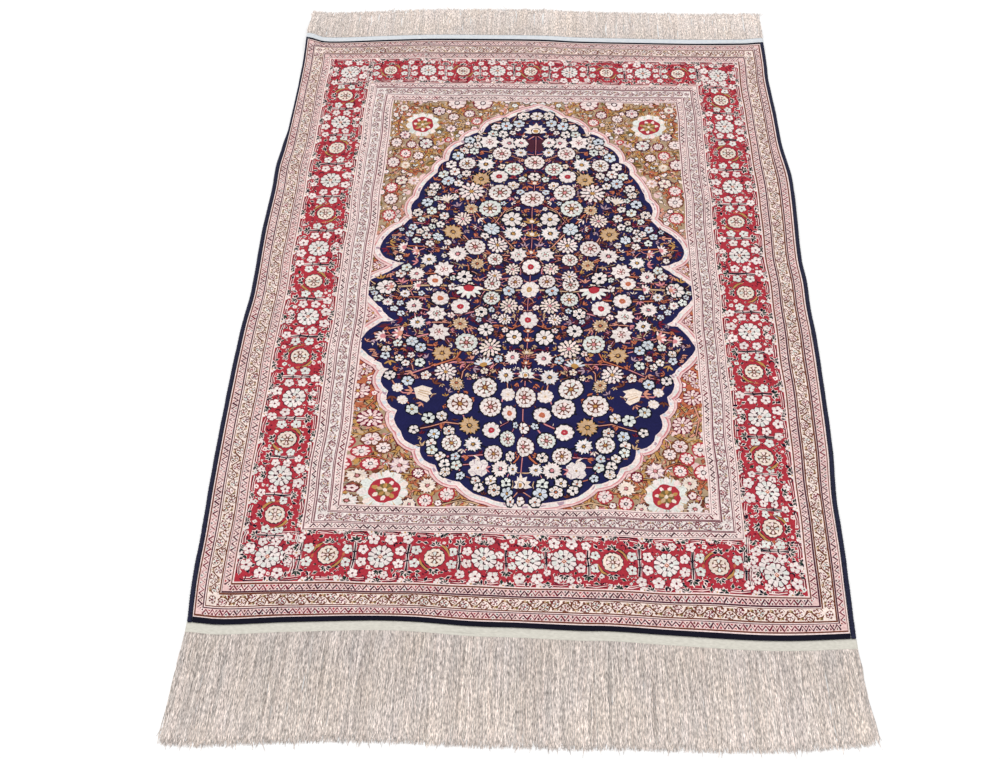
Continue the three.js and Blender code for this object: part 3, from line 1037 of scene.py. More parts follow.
# The corners of the field: x, y, radius, on a khaki ground.
CORNER_ROSETTES = [
    (125, 395, 10), (110, 375, 9), (153, 386, 10), (225, 313, 9), (210, 285, 10), (234, 289, 10),
    (248, 203, 11), (246, 176, 14), (247, 138, 12), (212, -333, 10), (236, -339, 10),
    (224, -361, 10), (115, -408, 11), (145, -418, 10), (161, -373, 8), (102, 424, 18),
    (149, 425, 18), (255, 316, 12), (255, 266, 13), (257, -323, 12), (257, -362, 13),
    (158, 324, 5),
]
CORNER_WHITE = [
    (180, 402, 10), (248, 410, 9), (240, 337, 10), (155, 354, 9), (198, 316, 11), (231, 260, 8),
    (209, 221, 10), (232, 221, 10), (188, -362, 13), (145, -393, 12), (228, -318, 10),
    (236, -381, 11), (242, -423, 11), (167, -425, 9),
]
CORNER_GOLD = [
    (70, 412, 9), (90, 389, 9), (132, 358, 8), (166, 339, 9), (246, 383, 10), (259, 364, 8),
    (190, 296, 10), (209, 246, 10), (251, 237, 9), (209, -310, 11), (248, -300, 9), (240, -250, 10),
    (188, -337, 10), (176, -375, 10), (205, -375, 9), (253, -389, 9), (65, -423, 9), (163, -404, 9),
    (90, -405, 8), (130, -375, 8), (248, 123, 8), (236, 196, 8), (222, 400, 8), (118, -383, 7),
    (226, -262, 8), (205, -290, 8), (250, -275, 8), (182, -318, 8), (225, -400, 7), (150, -350, 7),
]
CORNER_PINK = [
    (250, -231, 14), (233, -281, 15), (258, -205, 9), (250, 45, 11), (252, 25, 9), (250, -78, 11),
    (256, -95, 9), (248, -190, 11),
]

# The large flowers in the corners: x, y, the room that each takes, and which way up it is.
CORNER_PALMETTES = [(209, 366, 31, 1), (202, -404, 30, -1)]
# The vines of the corners: yarn, and points.
CORNER_VINES = [
    ("gold", [(158, 345), (170, 331), (184, 321), (209, 303)]),
    ("gold", [(179, 289), (193, 294), (202, 277), (215, 262)]),
    ("orange", [(195, 248), (218, 241), (240, 253), (256, 250)]),
    ("gold", [(222, 300), (243, 302), (260, 296)]),
    ("tan", [(131, 355), (141, 360), (136, 374)]),
    ("gold", [(136, 390), (145, 402), (168, 412), (200, 416)]),
    ("orange", [(252, 378), (257, 355), (247, 328)]),
    ("gold", [(70, 400), (92, 402), (112, 410)]),
    ("orange", [(222, 235), (232, 205), (238, 190)]),
    ("gold", [(202, -312), (190, -330), (197, -346)]),
    ("orange", [(204, -355), (222, -347), (240, -352)]),
    ("gold", [(152, -380), (172, -376), (193, -378), (207, -372)]),
    ("orange", [(118, -396), (128, -402), (163, -402)]),
    ("orange", [(228, -248), (238, -262), (224, -292)]),
    ("salmon", [(252, -248), (258, -270), (252, -301)]),
    ("gold", [(220, -300), (240, -310), (258, -305)]),
    ("gold", [(160, -345), (178, -350), (176, -362)]),
    ("tan", [(70, -424), (95, -418), (120, -424)]),
]
SIDE_PIECES = [
    [(266, 78), (245, 36), (215, 31), (236, 11), (266, -12)],
    [(268, -28), (245, -58), (217, -93), (254, -108), (260, -136)],
    [(262, -140), (255, -156), (217, -190), (214, -232), (236, -262), (264, -268)],
]

# Short bars that join the medallion to the edge of the field: y, height.
SIDE_BARS = [(83, 20), (-138, 6)]
CORNER_SEED = 43


def tendril(pen, size, yarn, edge):
    """A long spiral with three leaves on its outer side."""
    line = []
    for i in range(8):
        angle = math.radians(40 * i)
        reach = size * (1 - 0.085 * i)
        line.append((reach * math.cos(angle), reach * math.sin(angle)))
    pen.stroke(line, 3.8, edge)
    pen.stroke(line, 1.8, yarn)
    for i in (1, 3, 5):
        x, y = line[i]
        leaf(pen.at(x, y, 40 * i - 20), 0.85 * size, 0.4 * size, yarn, edge)


def spray(pen, size, yarn, edge):
    """A bent stem with broad leaves on both sides of it."""
    line = arc(0, -size, 1.1 * size, 150, 30, 5)
    pen.stroke(line, 2.6, edge)
    for i, (x, y) in enumerate(line):
        turn = (95 if i % 2 else -60) - 24 * i
        leaf(pen.at(x, y, turn), size, 0.46 * size, yarn, edge)
    pen.stroke(line, 0.9, "cream")


def corner_vine(pen, line, yarn):
    """A thick vine with leaves on both sides of it in turn."""
    chance = pen.chance
    pen.stroke(line, 4.6, "umber")
    way = 1
    for (x0, y0), (x1, y1) in zip(line, line[1:]):
        turn = math.degrees(math.atan2(y1 - y0, x1 - x0))
        for share in (0.15, 0.5, 0.85):
            place = pen.at(x0 + share * (x1 - x0), y0 + share * (y1 - y0), turn + way * 58)
            leaf(place.at(1, 0), chance.uniform(8, 11), 4.6, chance.choice([yarn, "gold", "tan"]), "umber")
            way = -way
    pen.stroke(line, 2.0, yarn)


def corner_filler(pen, size, y):
    """Leaves and small blossoms that crowd the corners."""
    chance = pen.chance
    yarn = chance.choice(["gold", "tan", "gold", "orange", "cream", "blush"])
    lower = ["umber", "wine", "red", "bark"]
    edge = chance.choice(["brown", "umber", "bark"] if y > LOWER_CORNERS else lower)
    if size > 3.3 and chance.random() < 0.42:
        pen.fill(ring(size + 0.5, 8), edge)
        pen.fill(lobes(0.86 * size, 5, 0.25), chance.choice(["ivory", "blush", "pink", "mint", "blush"]))
        pen.fill(ring(0.26 * size, 4), "rose" if y > 0 else "wine")
    else:
        pen.at(-size, 0).fill(pointed_petal(0, 2.1 * size, 0.68 * size), edge, 0.1)
        pen.at(-0.8 * size, 0).fill(pointed_petal(0, 1.7 * size, 0.42 * size), yarn, 0.1)


def corner_tendril(pen, size, y):
    """A spiral or a spray where the ground of the corners is open."""
    chance = pen.chance
    yarn = chance.choice(["gold", "tan", "orange", "gold", "salmon"])
    draw = chance.choice([tendril, spray])
    draw(pen, size, yarn, chance.choice(["brown", "umber", "bark"]))


def corner_shade(pen, size, y):
    """Patches of the corners' ground in other yarns."""
    lower = ["rose", "brown", "tan", "pink", "khaki"]
    yarns = ["olive", "tan", "pink"] if y > LOWER_CORNERS else lower
    pen.fill(ring(size, 7, 0, 0.7), pen.chance.choice(yarns), 0.1)


def draw_corners(pen):
    """Everything outside the medallion, the same on both sides of the axis."""
    outline = medallion_outline()
    for side in (1, -1):
        pen.chance.seed(CORNER_SEED)
        half = half_field(pen, side)
        for piece in SIDE_PIECES:
            half.fill(off_axis(piece), "orange")
        if pen.fine:
            draw_thicket(half, halved(outline, 13), halved(outline, 20))
        draw_corner_flowers(half)
        for y, height in SIDE_BARS:
            low, high = y - height / 2, y + height / 2
            half.fill([(234, low), (268, low), (268, high), (244, high)], "rose")
            half.fill([(238, low + 1.5), (268, low + 1.5), (268, high - 1.5), (246, high - 1.5)], "blush")


def draw_thicket(half, ground, open_ground):
    """The crowded leaves, tendrils, small blossoms and vines of the corners."""
    chance = half.chance
    taken = [(x, y, r + 1.5) for x, y, r in off_axis(CORNER_ROSETTES + CORNER_WHITE + CORNER_PINK)]
    taken += [(x, y, 0.8 * r) for x, y, r in off_axis(CORNER_GOLD)]
    taken += [(x, y, room) for x, y, room, _ in off_axis(CORNER_PALMETTES)]
    shaded = places_in(half, 700, ground, False)
    fill_gaps(half, NOTHING, *shaded, corner_shade, least=3, most=10, gap=0)
    for x, y, size in off_axis(CORNER_GOLD):
        place = half.at(x, y, chance.uniform(0, 360))
        spray(place, 1.15 * size, chance.choice(["gold", "orange", "tan"]), "umber")
    spread = [(x, y, 4) for x, y, _ in taken]
    open_places = places_in(half, 1500, open_ground, False)
    fill_gaps(half, spread, *open_places, corner_tendril, least=7.5, most=12, gap=-2)
    xs, ys = places_in(half, 10000, ground, False)
    free = (ys < LOWER_CORNERS) | ~points_inside(np.array(open_ground), xs, ys)
    fill_gaps(half, taken, xs[free], ys[free], corner_filler, least=3, most=7, gap=0.1)
    for yarn, line in CORNER_VINES:
        corner_vine(half, off_axis(line), yarn)


def draw_corner_flowers(half):
    """The large flowers and rosettes of the corners."""
    chance = half.chance
    for x, y, radius in off_axis(CORNER_WHITE):
        draw = chance.choice([spiky, daisy, spiky])
        place = half.at(x, y, chance.uniform(0, 90))
        yarns = chance.choice([("ivory", "mint"), ("blush", "lilac"), ("cream", "ivory")])
        draw(place, 1.12 * radius, "rose", yarns, chance.choice(["bark", "tan", "brown"]))
    for x, y, radius in off_axis(CORNER_ROSETTES):
        small_disc(half.at(x, y), radius * 0.92, edge=chance.choice(["red", "wine", "red", "brown"]))
    for x, y, radius in off_axis(CORNER_PINK):
        mum(half.at(x, y), radius, "gold", ("blush", "pink"), "wine")
    for x, y, _, flip in off_axis(CORNER_PALMETTES):
        corner_palmette(half.at(x, y, 90, 1, flip))


def corner_palmette(pen):
    """A large flower with a red heart inside a broken collar of pale petals."""
    pen.fill(lobes(31, 9, 0.12), "mint")
    petals(pen, 11, 17, 32, 0.62, ("ivory", "blush", "mint", "ivory", "shell"))
    wedges(pen, 11, 20, 30, 1.6, "tan", 16)
    pen.fill(lobes(21, 6, 0.09, 15), "red")
    petals(pen, 7, 6, 17, 0.5, ("blush", "gold", "cream"), turn=20)
    pen.fill(lobes(11.5, 6, 0.2), "olive")
    petals(pen, 5, 1, 11, 0.55, ("gold", "tan"))
    pen.fill(ring(3, 6), "cream")


def draw_field(pen):
    """The corners, and the medallion over them."""
    draw_corners(pen)
    draw_medallion(pen)


# The guards: narrow stripes with vines and scrolls, from the outside in. Widths are shares.
GUARD_STRIPES = [
    (1.8, "blush"), (1.6, "brown"), (9.3, "pink"), (1.4, "bark"), (1.2, "blush"), (1.6, "brown"),
    (16.0, "shell"), (1.6, "brown"), (1.2, "blush"), (1.4, "bark"), (9.8, "pink"), (1.6, "brown"),
    (2.2, "blush"),
]
PALER = {"shell": "ivory", "pink": "blush", "brown": "dusk", "bark": "dusk"}
VINE_STRIPES = (2, 10)
SCROLL_STRIPE = 6
VINE_PITCH = 10
SCROLL_PITCH = 27

# How heavy the lines of each guard are on its near, right, far and left side.
OUTER_WEIGHTS = (1.45, 1.15, 1.25, 1.05)
INNER_WEIGHTS = (1.25, 1.1, 1.3, 1.1)


def between(outer, inner, share):
    """A box part of the way from an outer one to an inner one."""
    return tuple(a + (b - a) * share for a, b in zip(outer, inner))


def side_pens(pen, box):
    """For each side of a box, a pen that runs along it with +Y inwards, and its length."""
    left, right, near, far = box
    yield Pen(pen.drawing, (1, 0, 0, 1, left, near)), right - left
    yield Pen(pen.drawing, (0, 1, -1, 0, right, near)), far - near
    yield Pen(pen.drawing, (-1, 0, 0, -1, right, far)), right - left
    yield Pen(pen.drawing, (0, -1, 1, 0, left, far)), far - near


def draw_vine(pen, length, width, weight):
    """A zigzag vine with a lozenge at each turn, between y = -width/2 and width/2."""
    count = max(2, round((length - width) / VINE_PITCH))
    pitch = (length - width) / count
    reach = 0.34 * width
    chance = pen.chance
    corners = [(width / 2 + pitch * i / 2, reach if i % 2 else -reach) for i in range(2 * count + 1)]
    for first in range(0, 2 * count, 8):
        pen.stroke(corners[first : first + 9], 1.6 * weight, "bark" if chance.random() < 0.6 else "wine")
    for x, y in corners:
        lozenge = pen.at(x, -y * 0.72)
        lozenge.fill(ring(0.25 * width, 4), chance.choice(["ivory", "ivory", "mint", "shell"]))
        lozenge.fill(ring(0.12 * width * weight, 4), chance.choice(["wine", "red", "bark", "brown"]))


def draw_scroll(pen, length, width, weight, line):
    """A running vine with a small flower in each bend and leaves beside it."""
    count = 2 * round((length - width) / SCROLL_PITCH)
    pitch = (length - width) / count
    chance = pen.chance
    vine = []
    for i in range(6 * count + 1):
        vine.append((width / 2 + pitch * i / 6, 0.27 * width * math.sin(math.pi * i / 6)))
    for first in range(0, 6 * count, 12):
        pen.stroke(vine[first : first + 13], 1.35 * weight, line)
    pen.fill(ring(0.34 * width, 9), line)
    petals(pen, 6, 0.6, 0.3 * width, 0.7, ("blush", "ivory"))
    pen.fill(ring(0.09 * width, 5), "wine")
    for k in range(count):
        side = 1 if k % 2 else -1
        start = width / 2 + pitch * k
        bay_x, bay_y = start + pitch / 2, side * 0.16 * width
        bay = pen.at(bay_x, bay_y)
        pen.stroke([(start, 0), (bay_x - 0.3 * width, bay_y)], 1.1 * weight, line)
        bay.stroke(arc(0, 0, 0.37 * width, 100 * side - 80, 100 * side + 110, 6), 0.9 * weight, line)
        bay.fill(ring(0.29 * width, 9), line if k % 3 else "wine")
        petals(bay, 5, 0.6, 0.27 * width, 0.68, (chance.choice(["blush", "ivory", "mint"]), "blush"))
        bay.fill(ring(0.07 * width, 4), chance.choice(["wine", "red", "gold"]))
        for turn, yarn in ((40, line), (140, "olive"), (90, "tan")):
            sprig = pen.at(start + pitch * turn / 180, -side * 0.28 * width, turn * -side)
            sprig.fill(pointed_petal(-1.5, 0.2 * width, 0.07 * width * weight), yarn)
        pen.at(start, side * 0.36 * width).fill(ring(1.2 * weight, 4), "wine")


def draw_guard(pen, outer, inner, weights, pale):
    """The stripes of a guard between two boxes, with the weight of the lines on each side."""
    total = sum(share for share, _ in GUARD_STRIPES)
    before = 0.0
    for i, (share, yarn) in enumerate(GUARD_STRIPES):
        start = between(outer, inner, before / total)
        end = between(outer, inner, (before + share) / total)
        before += share
        pen.fill(rectangle(start), PALER.get(yarn, yarn) if pale else yarn, 0)
        if not pen.fine:
            continue
        width = abs(start[2] - end[2])
        for (side, length), weight in zip(side_pens(pen, between(start, end, 0.5)), weights):
            if i in VINE_STRIPES:
                draw_vine(side, length, width, weight)
            if i == SCROLL_STRIPE:
                draw_scroll(side, length, width, weight, "dusk" if pale else "brown")


# The main border: rosettes and wheels in turn, with a stem across the border between them.
# Each list has the places along one side, and the letters say what stands there.
NEAR_BORDER = [-345, -268, -195, -120, -52, 8, 57, 124, 198, 270, 342]
RIGHT_BORDER = [-520, -450, -392, -335, -265, -182, -105, -24, 57, 134, 216, 300, 369, 441, 511]
FAR_BORDER = [-345, -272, -200, -134, -69, -6, 68, 138, 206, 271, 343]
LEFT_BORDER = [-512, -446, -382, -320, -246, -168, -90, -15, 58, 139, 219, 300, 369, 442, 511]
NEAR_KINDS = "RWRWRRRWRWR"
SIDE_KINDS = 7 * "RW" + "R"
FAR_KINDS = 5 * "RW" + "R"

# The pieces have their full size on a side of the border that is at least this wide.
WIDE_BAND = 79


def blossom(pen, radius, yarns=("ivory",), heart="wine"):
    """A five-petalled flower of the border."""
    if not pen.fine:
        return plain_back(pen, radius, heart, yarns)
    pen.fill(ring(radius + 1.1, 7), "wine")
    pen.fill(lobes(1.08 * radius, 5, 0.24), yarns[0])
    wedges(pen, 5, 0.3 * radius, 0.9 * radius, 1.4, "rose")
    pen.fill(ring(0.26 * radius, 5), heart)


def leaf_star(pen, size):
    """A tuft of dark leaves with pale edges, spreading along +X."""
    if not pen.fine:
        return pen.fill(pointed_petal(0, size, 0.4 * size), "ink")
    for turn in (-84, -42, 0, 42, 84):
        tuft = pen.at(0, 0, turn)
        tuft.fill(pointed_petal(0, size + 1.4, 0.36 * size), "blush")
        tuft.fill(pointed_petal(0.6, size, 0.26 * size), "green" if abs(turn) < 60 else "ink")


def border_filler(pen, size, y):
    """Leaves, buds and tendrils on the red ground."""
    chance = pen.chance
    kind = chance.random()
    if kind < 0.6:
        pen.at(-size, 0).fill(pointed_petal(0, 2 * size, 0.6 * size), "blush")
        dark = chance.choice(["ink", "green"])
        pen.at(-0.85 * size, 0).fill(pointed_petal(0, 1.7 * size, 0.48 * size), dark)
    elif kind < 0.8 and size > 2.6:
        pen.stroke(arc(0, 0, 0.8 * size, 0, 200, 4), 1.8, chance.choice(["ink", "bark"]))
    elif size > 2.6:
        pen.fill(lobes(0.8 * size, 4, 0.25), chance.choice(["ivory", "blush", "mint"]))
        pen.fill(ring(0.25 * size, 4), "wine")
    else:
        pen.fill(ring(0.7 * size, 4), "wine")


def border_rosette(pen, big_side):
    """Twelve pale petals round a lozenge, with a pair of blossoms on each side."""
    for sign in (-1, 1):
        blossom(pen.at(sign * 12, big_side * 27, 20 * sign), 8)
        blossom(pen.at(sign * 8.5, -big_side * 28, 30), 5.5)
        leaf(pen.at(sign * 3, big_side * 32, 90 * big_side), 7, 3.4, "ink", "blush")
    leaf_star(pen.at(0, -big_side * 22, -90 * big_side), 7.5)
    pen.fill(lobes(19, 12, 0.1), "wine")
    pen.fill(lobes(17.6, 12, 0.12), "ivory")
    petals(pen, 4, 9, 16, 0.3, ("mint",), turn=15)
    wedges(pen, 12, 8, 16.8, 1.5, "bark", 0)
    pen.fill(lobes(9.4, 6, 0.2), "bark")
    petals(pen, 6, 2, 9, 0.78, ("mint", "ivory"))
    pen.fill(ring(4.8, 4), "blush")
    pen.fill(ring(3.4, 4), "orange")
    pen.fill(ring(1.5, 4), "cream")


def border_wheel(pen, lean):
    """A cream scalloped disc with a ring of small petals, between two curved leaves."""
    for turn in (0, 180):
        crescent = pen.at(0, 0, turn + 45 * lean)
        curve = arc(0, 0, 20.5, -38, 38, 6)
        crescent.stroke(curve, [0.6, 3.6, 5.2, 5.8, 5.0, 3.4, 0.6], "bark")
        crescent.stroke(curve, [0.3, 1.6, 3.0, 3.4, 2.8, 1.4, 0.3], "gold")
        leaf(crescent.at(16, 13, 120), 7, 3.6, "orange", None)
    leaf_star(pen.at(0, 19, 90), 8)
    leaf_star(pen.at(0, -19, -90), 8)
    pen.fill(lobes(15.6, 12, 0.07), "bark")
    pen.fill(lobes(14.2, 12, 0.08), "cream")
    pen.fill(ring(9.9, 11), "brown")
    petals(pen, 8, 2.6, 9.6, 0.86, ("blush", "cream", "mint", "cream"))
    pen.fill(ring(3.2, 7), "brown")
    pen.fill(ring(1.9, 6), "blush")


def border_stem(pen, way):
    """A dark trunk across the border with four blossoms beside it and a tuft at one end."""
    stem = pen.at(0, 0, 0 if way > 0 else 180)
    for x, width, yarn in ((0, 6.4, "rose"), (0, 5.0, "ink"), (-1.5, 0.9, "blush"), (1.5, 0.9, "blush")):
        stem.stroke([(x - 1, -20), (x + 0.5, -6), (x - 0.5, 8), (x, 22)], width, yarn)
    for x, y in ((-11, -11), (11, -9), (-10.5, 10), (11.5, 11)):
        stem.stroke([(0, y * 0.55), (x * 0.5, y * 0.75), (x, y)], 1.8, "ink")
        blossom(stem.at(x, y, 40 * x), 7.2, ("ivory",) if x > 0 else ("mint",))
    blossom(stem.at(2, -27), 7)
    leaf_star(stem.at(0, 23, 90), 9.5)
    for x in (-19, 19):
        leaf(stem.at(x * 0.75, 25, 90 - x), 8, 3.4, "ink", "blush")


def border_edges(pen, length, band):
    """Half blossoms and bundles of fine lines along both edges of the border."""
    for edge in (-1, 1):
        at = 12.0
        while at < length - 12:
            run = pen.chance.uniform(16, 30)
            for i, yarn in enumerate(["ink", "blush", "wine", "blush"]):
                y = edge * (band / 2 - 1.6 - 1.5 * i)
                line = [(at, y), (at + run / 2, y + edge * 0.8), (at + run, y - edge * 1.2)]
                pen.stroke(line, 1.0, yarn)
            if pen.fine:
                blossom(pen.at(at + run + 7, edge * (band / 2 - 1)), 5.6, ("ivory",), "gold")
                leaf_star(pen.at(at + run + 16, edge * (band / 2 - 0.5), -90 * edge), 7)
            at += run + 24


def turned_over(i):
    """Which way up the pieces of the border are: two one way, then two the other."""
    return 1 if (i // 2) % 2 else -1


def stem_size(a, b):
    """How large the stem between two pieces of the border is, as a share."""
    return min(1.0, (b - a) / 74)


def border_taken(places, kinds, squash):
    """The rough places of what a side of the border carries: along it, across it, radius."""
    taken = []
    for i, (at, kind) in enumerate(zip(places, kinds)):
        taken.append((at, 0, 18 * squash))
        big = squash * turned_over(i)
        spots = [(12, 27, 8), (8.5, -28, 6)] if kind == "R" else [(0, 24, 8), (0, -24, 8)]
        taken += [(at + sign * x * squash, y * big, r * squash) for sign in (-1, 1) for x, y, r in spots]
    for i, (a, b) in enumerate(zip(places, places[1:])):
        size = squash * stem_size(a, b)
        way = size if i % 2 else -size
        spots = [(-11, -11, 8), (11, -9, 8), (-10.5, 10, 8), (11.5, 11, 8), (2, -27, 8), (0, 27, 9)]
        taken += [((a + b) / 2 + x * way, y * way, r * size) for x, y, r in spots]
    return taken


def draw_border_side(side, places, kinds, band, ends, filled):
    """One side of the border, with the ends of its edges and of its small leaves."""
    squash = min(1.0, band / WIDE_BAND)
    border_edges(side.at(ends[0], 0), ends[1] - ends[0], band)
    if side.fine:
        box = (filled[0] + 4, filled[1] - 4, -band / 2 + 4, band / 2 - 4)
        taken = border_taken(places, kinds, squash)
        fill_gaps(side, taken, *scatter(side, 5000, box), border_filler, least=1.8, most=5, gap=0.1)
    for i, (a, b) in enumerate(zip(places, places[1:])):
        border_stem(side.at((a + b) / 2, 0, 0, squash * stem_size(a, b)), 1 if i % 2 else -1)
    for i, (at, kind) in enumerate(zip(places, kinds)):
        draw = border_rosette if kind == "R" else border_wheel
        draw(side.at(at, 0, 0, squash), turned_over(i))


def draw_border(pen):
    """The border's four sides, each with a pen along its middle that has +Y inwards."""
    left, right, near, far = BORDER
    inner_left, inner_right, inner_near, inner_far = INNER_GUARD
    for places, kinds, outer, inner, way in (
        (NEAR_BORDER, NEAR_KINDS, near, inner_near, 1),
        (FAR_BORDER, FAR_KINDS, far, inner_far, -1),
    ):
        side = Pen(pen.drawing, (1, 0, 0, way, 0, (outer + inner) / 2))
        draw_border_side(side, places, kinds, abs(inner - outer), (left, right), (left, right))
    for places, outer, inner, way in (
        (LEFT_BORDER, left, inner_left, 1),
        (RIGHT_BORDER, right, inner_right, -1),
    ):
        side = Pen(pen.drawing, (0, 1, way, 0, (outer + inner) / 2, 0))
        draw_border_side(side, places, SIDE_KINDS, abs(inner - outer), (near, far), (inner_near, inner_far))


def region_drawings(fine):
    """The four bands of the design, from the outside in, as drawings."""
    outer = Drawing(CLOTH, "ink", BORDER, fine, 3)
    draw_guard(Pen(outer), GUARDED, BORDER, OUTER_WEIGHTS, False)
    border = Drawing(BORDER, "red", INNER_GUARD, fine, 5)
    draw_border(Pen(border))
    inner = Drawing(INNER_GUARD, "cream", FIELD, fine, 7)
    draw_guard(Pen(inner), INNER_GUARD, FIELD, INNER_WEIGHTS, True)
    field = Drawing(FIELD, "khaki", None, fine, 11, left_stray)
    draw_field(Pen(field))
    return {"outer_guard": outer, "border": border, "inner_guard": inner, "field": field}


# Meshes


def mesh_piece(name, points, faces, material, colours=None, smooth=True):
    """A mesh object in the row frame. Colours, if given, are one for each face."""
    mesh = bpy.data.meshes.new(name)
    mesh.from_pydata(np.asarray(points).tolist(), [], [list(map(int, f)) for f in faces])
    if colours is not None:
        corners = [len(f) for f in faces]
        spread = np.repeat(np.asarray(colours, float), corners, axis=0)
        rgba = np.concatenate([spread, np.ones((len(spread), 1))], axis=1)
        layer = mesh.color_attributes.new("yarn", "FLOAT_COLOR", "CORNER")
        layer.data.foreach_set("color", rgba.astype(np.float32).ravel())
    if smooth:
        mesh.shade_smooth()
    mesh.materials.append(material)
    piece = bpy.data.objects.new(name, mesh)
    bpy.context.scene.collection.objects.link(piece)
    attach(piece, "root")
    return piece


def ripple(x, y):
    """The small unevenness of a hand-knotted pile, which fades out at the edges."""
    inwards = [1 - np.clip(np.abs(p) / half, 0, 1) ** 16 for p, half in ((x, HALF_WIDTH), (y, HALF_LENGTH))]
    waves = 0.3 * np.sin(y / 23 + np.sin(x / 90)) + 0.22 * np.sin(x / 31 + y / 77 + 1)
    return inwards[0] * inwards[1] * waves


def outline_loop():
    """Points of the cloth's own edge on the plan, counter-clockwise."""
    left, right, near, far = CLOTH
    xs = np.arange(-432, 441, 12.0)
    ys = np.arange(-600, 608, 12.0)
    loop = [(left, near)] + [(x, near) for x in xs] + [(right, near)] + [(right, y) for y in ys]
    loop += [(right, far)] + [(x, far) for x in xs[::-1]] + [(left, far)] + [(left, y) for y in ys[::-1]]
    return np.array(loop)


def edge_wall(inset, high, low, yarn):
    """A wall round the cloth's edge, between two heights over the rug's underside."""
    loop = outline_loop() * inset
    x, y = lay_out(loop[:, 0], loop[:, 1])
    ground = lift(x, y)
    points = np.concatenate([to_frame(x, y, ground + high), to_frame(x, y, ground + low)])
    count = len(loop)
    faces = []
    for i in range(count):
        j = (i + 1) % count
        faces += [[i, count + i, count + j], [i, count + j, j]]
    return points, faces, np.tile(LINEAR[yarn], (len(faces), 1))


def joined(parts):
    """Several meshes as one. Each is its points, its faces and the colours of these."""
    points, faces, colours = zip(*parts)
    starts = np.cumsum([0] + [len(p) for p in points[:-1]])
    faces = [np.asarray(f) + start for f, start in zip(faces, starts)]
    return np.concatenate(points), np.concatenate(faces), np.concatenate(colours)


def grid_faces(rows, cols):
    """The faces of a grid of points that is this many faces high and wide."""
    corners = [(r * (cols + 1) + c) for r in range(rows) for c in range(cols)]
    return [[a, a + 1, a + cols + 2, a + cols + 1] for a in corners]


def pile_pieces(material):
    """The face of the rug, band by band, with the pile's own thickness round its edge."""
    made = []
    for region, drawing in region_drawings(True).items():
        name = f"pile_{region}"
        plan, faces, colours = drawing.triangles()
        x, y = lay_out(plan[:, 0], plan[:, 1])
        points = to_frame(x, y, lift(x, y) + BODY_THICK + ripple(plan[:, 0], plan[:, 1]))
        if region == "outer_guard":
            skirt = edge_wall(1, BODY_THICK, FOUNDATION_THICK - PILE_OVERLAP, "ink")
            points, faces, colours = joined([(points, faces, colours), skirt])
        if region != "field":
            made.append(mesh_piece(name, points, faces, material, colours))
            continue
        beyond = plan[faces].mean(axis=1)[:, 1] > 0
        for part, chosen in (("near", ~beyond), ("far", beyond)):
            used, index = np.unique(faces[chosen], return_inverse=True)
            corners = index.reshape(-1, 3)
            made.append(mesh_piece(f"{name}_{part}", points[used], corners, material, colours[chosen]))
    return made


# The foundation lies a little inside the pile, so that no two faces share a plane.
FOUNDATION_INSET = 0.9985


def foundation(material):
    """The knotted cloth under the pile. Its back shows the design, a little less sharply."""
    parts = []
    for drawing in region_drawings(False).values():
        plan, tris, tones = drawing.triangles()
        x, y = lay_out(plan[:, 0] * FOUNDATION_INSET, plan[:, 1] * FOUNDATION_INSET)
        parts.append((to_frame(x, y, lift(x, y)), tris[:, ::-1], tones * 0.92))
    u, v = np.meshgrid(np.linspace(-1, 1, 61), np.linspace(-1, 1, 81))
    x, y = lay_out(
        u.ravel() * HALF_WIDTH * FOUNDATION_INSET,
        v.ravel() * HALF_LENGTH * FOUNDATION_INSET,
    )
    top = to_frame(x, y, lift(x, y) + FOUNDATION_THICK)
    tris = [t for a, b, c, d in grid_faces(80, 60) for t in ([a, b, c], [a, c, d])]
    parts.append((top, tris, np.tile(LINEAR["cream"], (len(tris), 1))))
    parts.append(edge_wall(FOUNDATION_INSET, FOUNDATION_THICK, 0, "cream"))
    points, faces, colours = joined(parts)
    return mesh_piece("rug_foundation", points, faces, material, colours, smooth=False)


def cord_width(side, y):
    """How wide a side cord is at each place. The left one is tucked under at its far end."""
    if side > 0:
        return np.full_like(y, CORD_WIDTH)
    return CORD_WIDTH + (CORD_TUCKED - CORD_WIDTH) * eased(np.clip((y - 300) / 50, 0, 1))


def tube_faces(rings, sides):
    """Faces of a closed tube of rings, with flat ends."""
    faces = []
    for r in range(rings - 1):
        for s in range(sides):
            t = (s + 1) % sides
            faces.append([r * sides + s, r * sides + t, (r + 1) * sides + t, (r + 1) * sides + s])
    faces.append(list(range(sides))[::-1])
    faces.append([(rings - 1) * sides + s for s in range(sides)])
    return faces


def side_cord(name, side, material):
    """The edge overcast with silk: a flat bar of slightly uneven turns."""
    rings, sides = 800, 8
    chance = np.random.default_rng(21 + side)
    v = np.linspace(-HALF_LENGTH, HALF_LENGTH, rings)
    x, y = lay_out(np.full(rings, side * HALF_WIDTH), v)
    width = cord_width(side, y)
    turn = np.abs(np.sin(np.arange(rings) * math.pi / 2.5))
    plump = 0.86 + 0.14 * turn + chance.normal(0, 0.025, rings)
    drift = 0.105 * np.sin(v / 9) + 0.09 * np.sin(v / 23 + 1)
    angle = np.arange(sides) * 2 * math.pi / sides * -side + math.pi / sides
    across = np.cos(angle) * (width * plump / 2)[:, None]
    up = np.sin(angle) * (CORD_HEIGHT * plump / 2)[:, None]
    centre = x + side * (GAP + width / 2) + drift
    middle = lift(x, y) + CORD_HEIGHT / 2
    points = to_frame(centre[:, None] + across, y[:, None] + 0 * across, middle[:, None] + up)
    faces = tube_faces(rings, sides)
    if side > 0:
        faces = [f[::-1] for f in faces]
    return mesh_piece(name, points.reshape(-1, 3), faces, material)


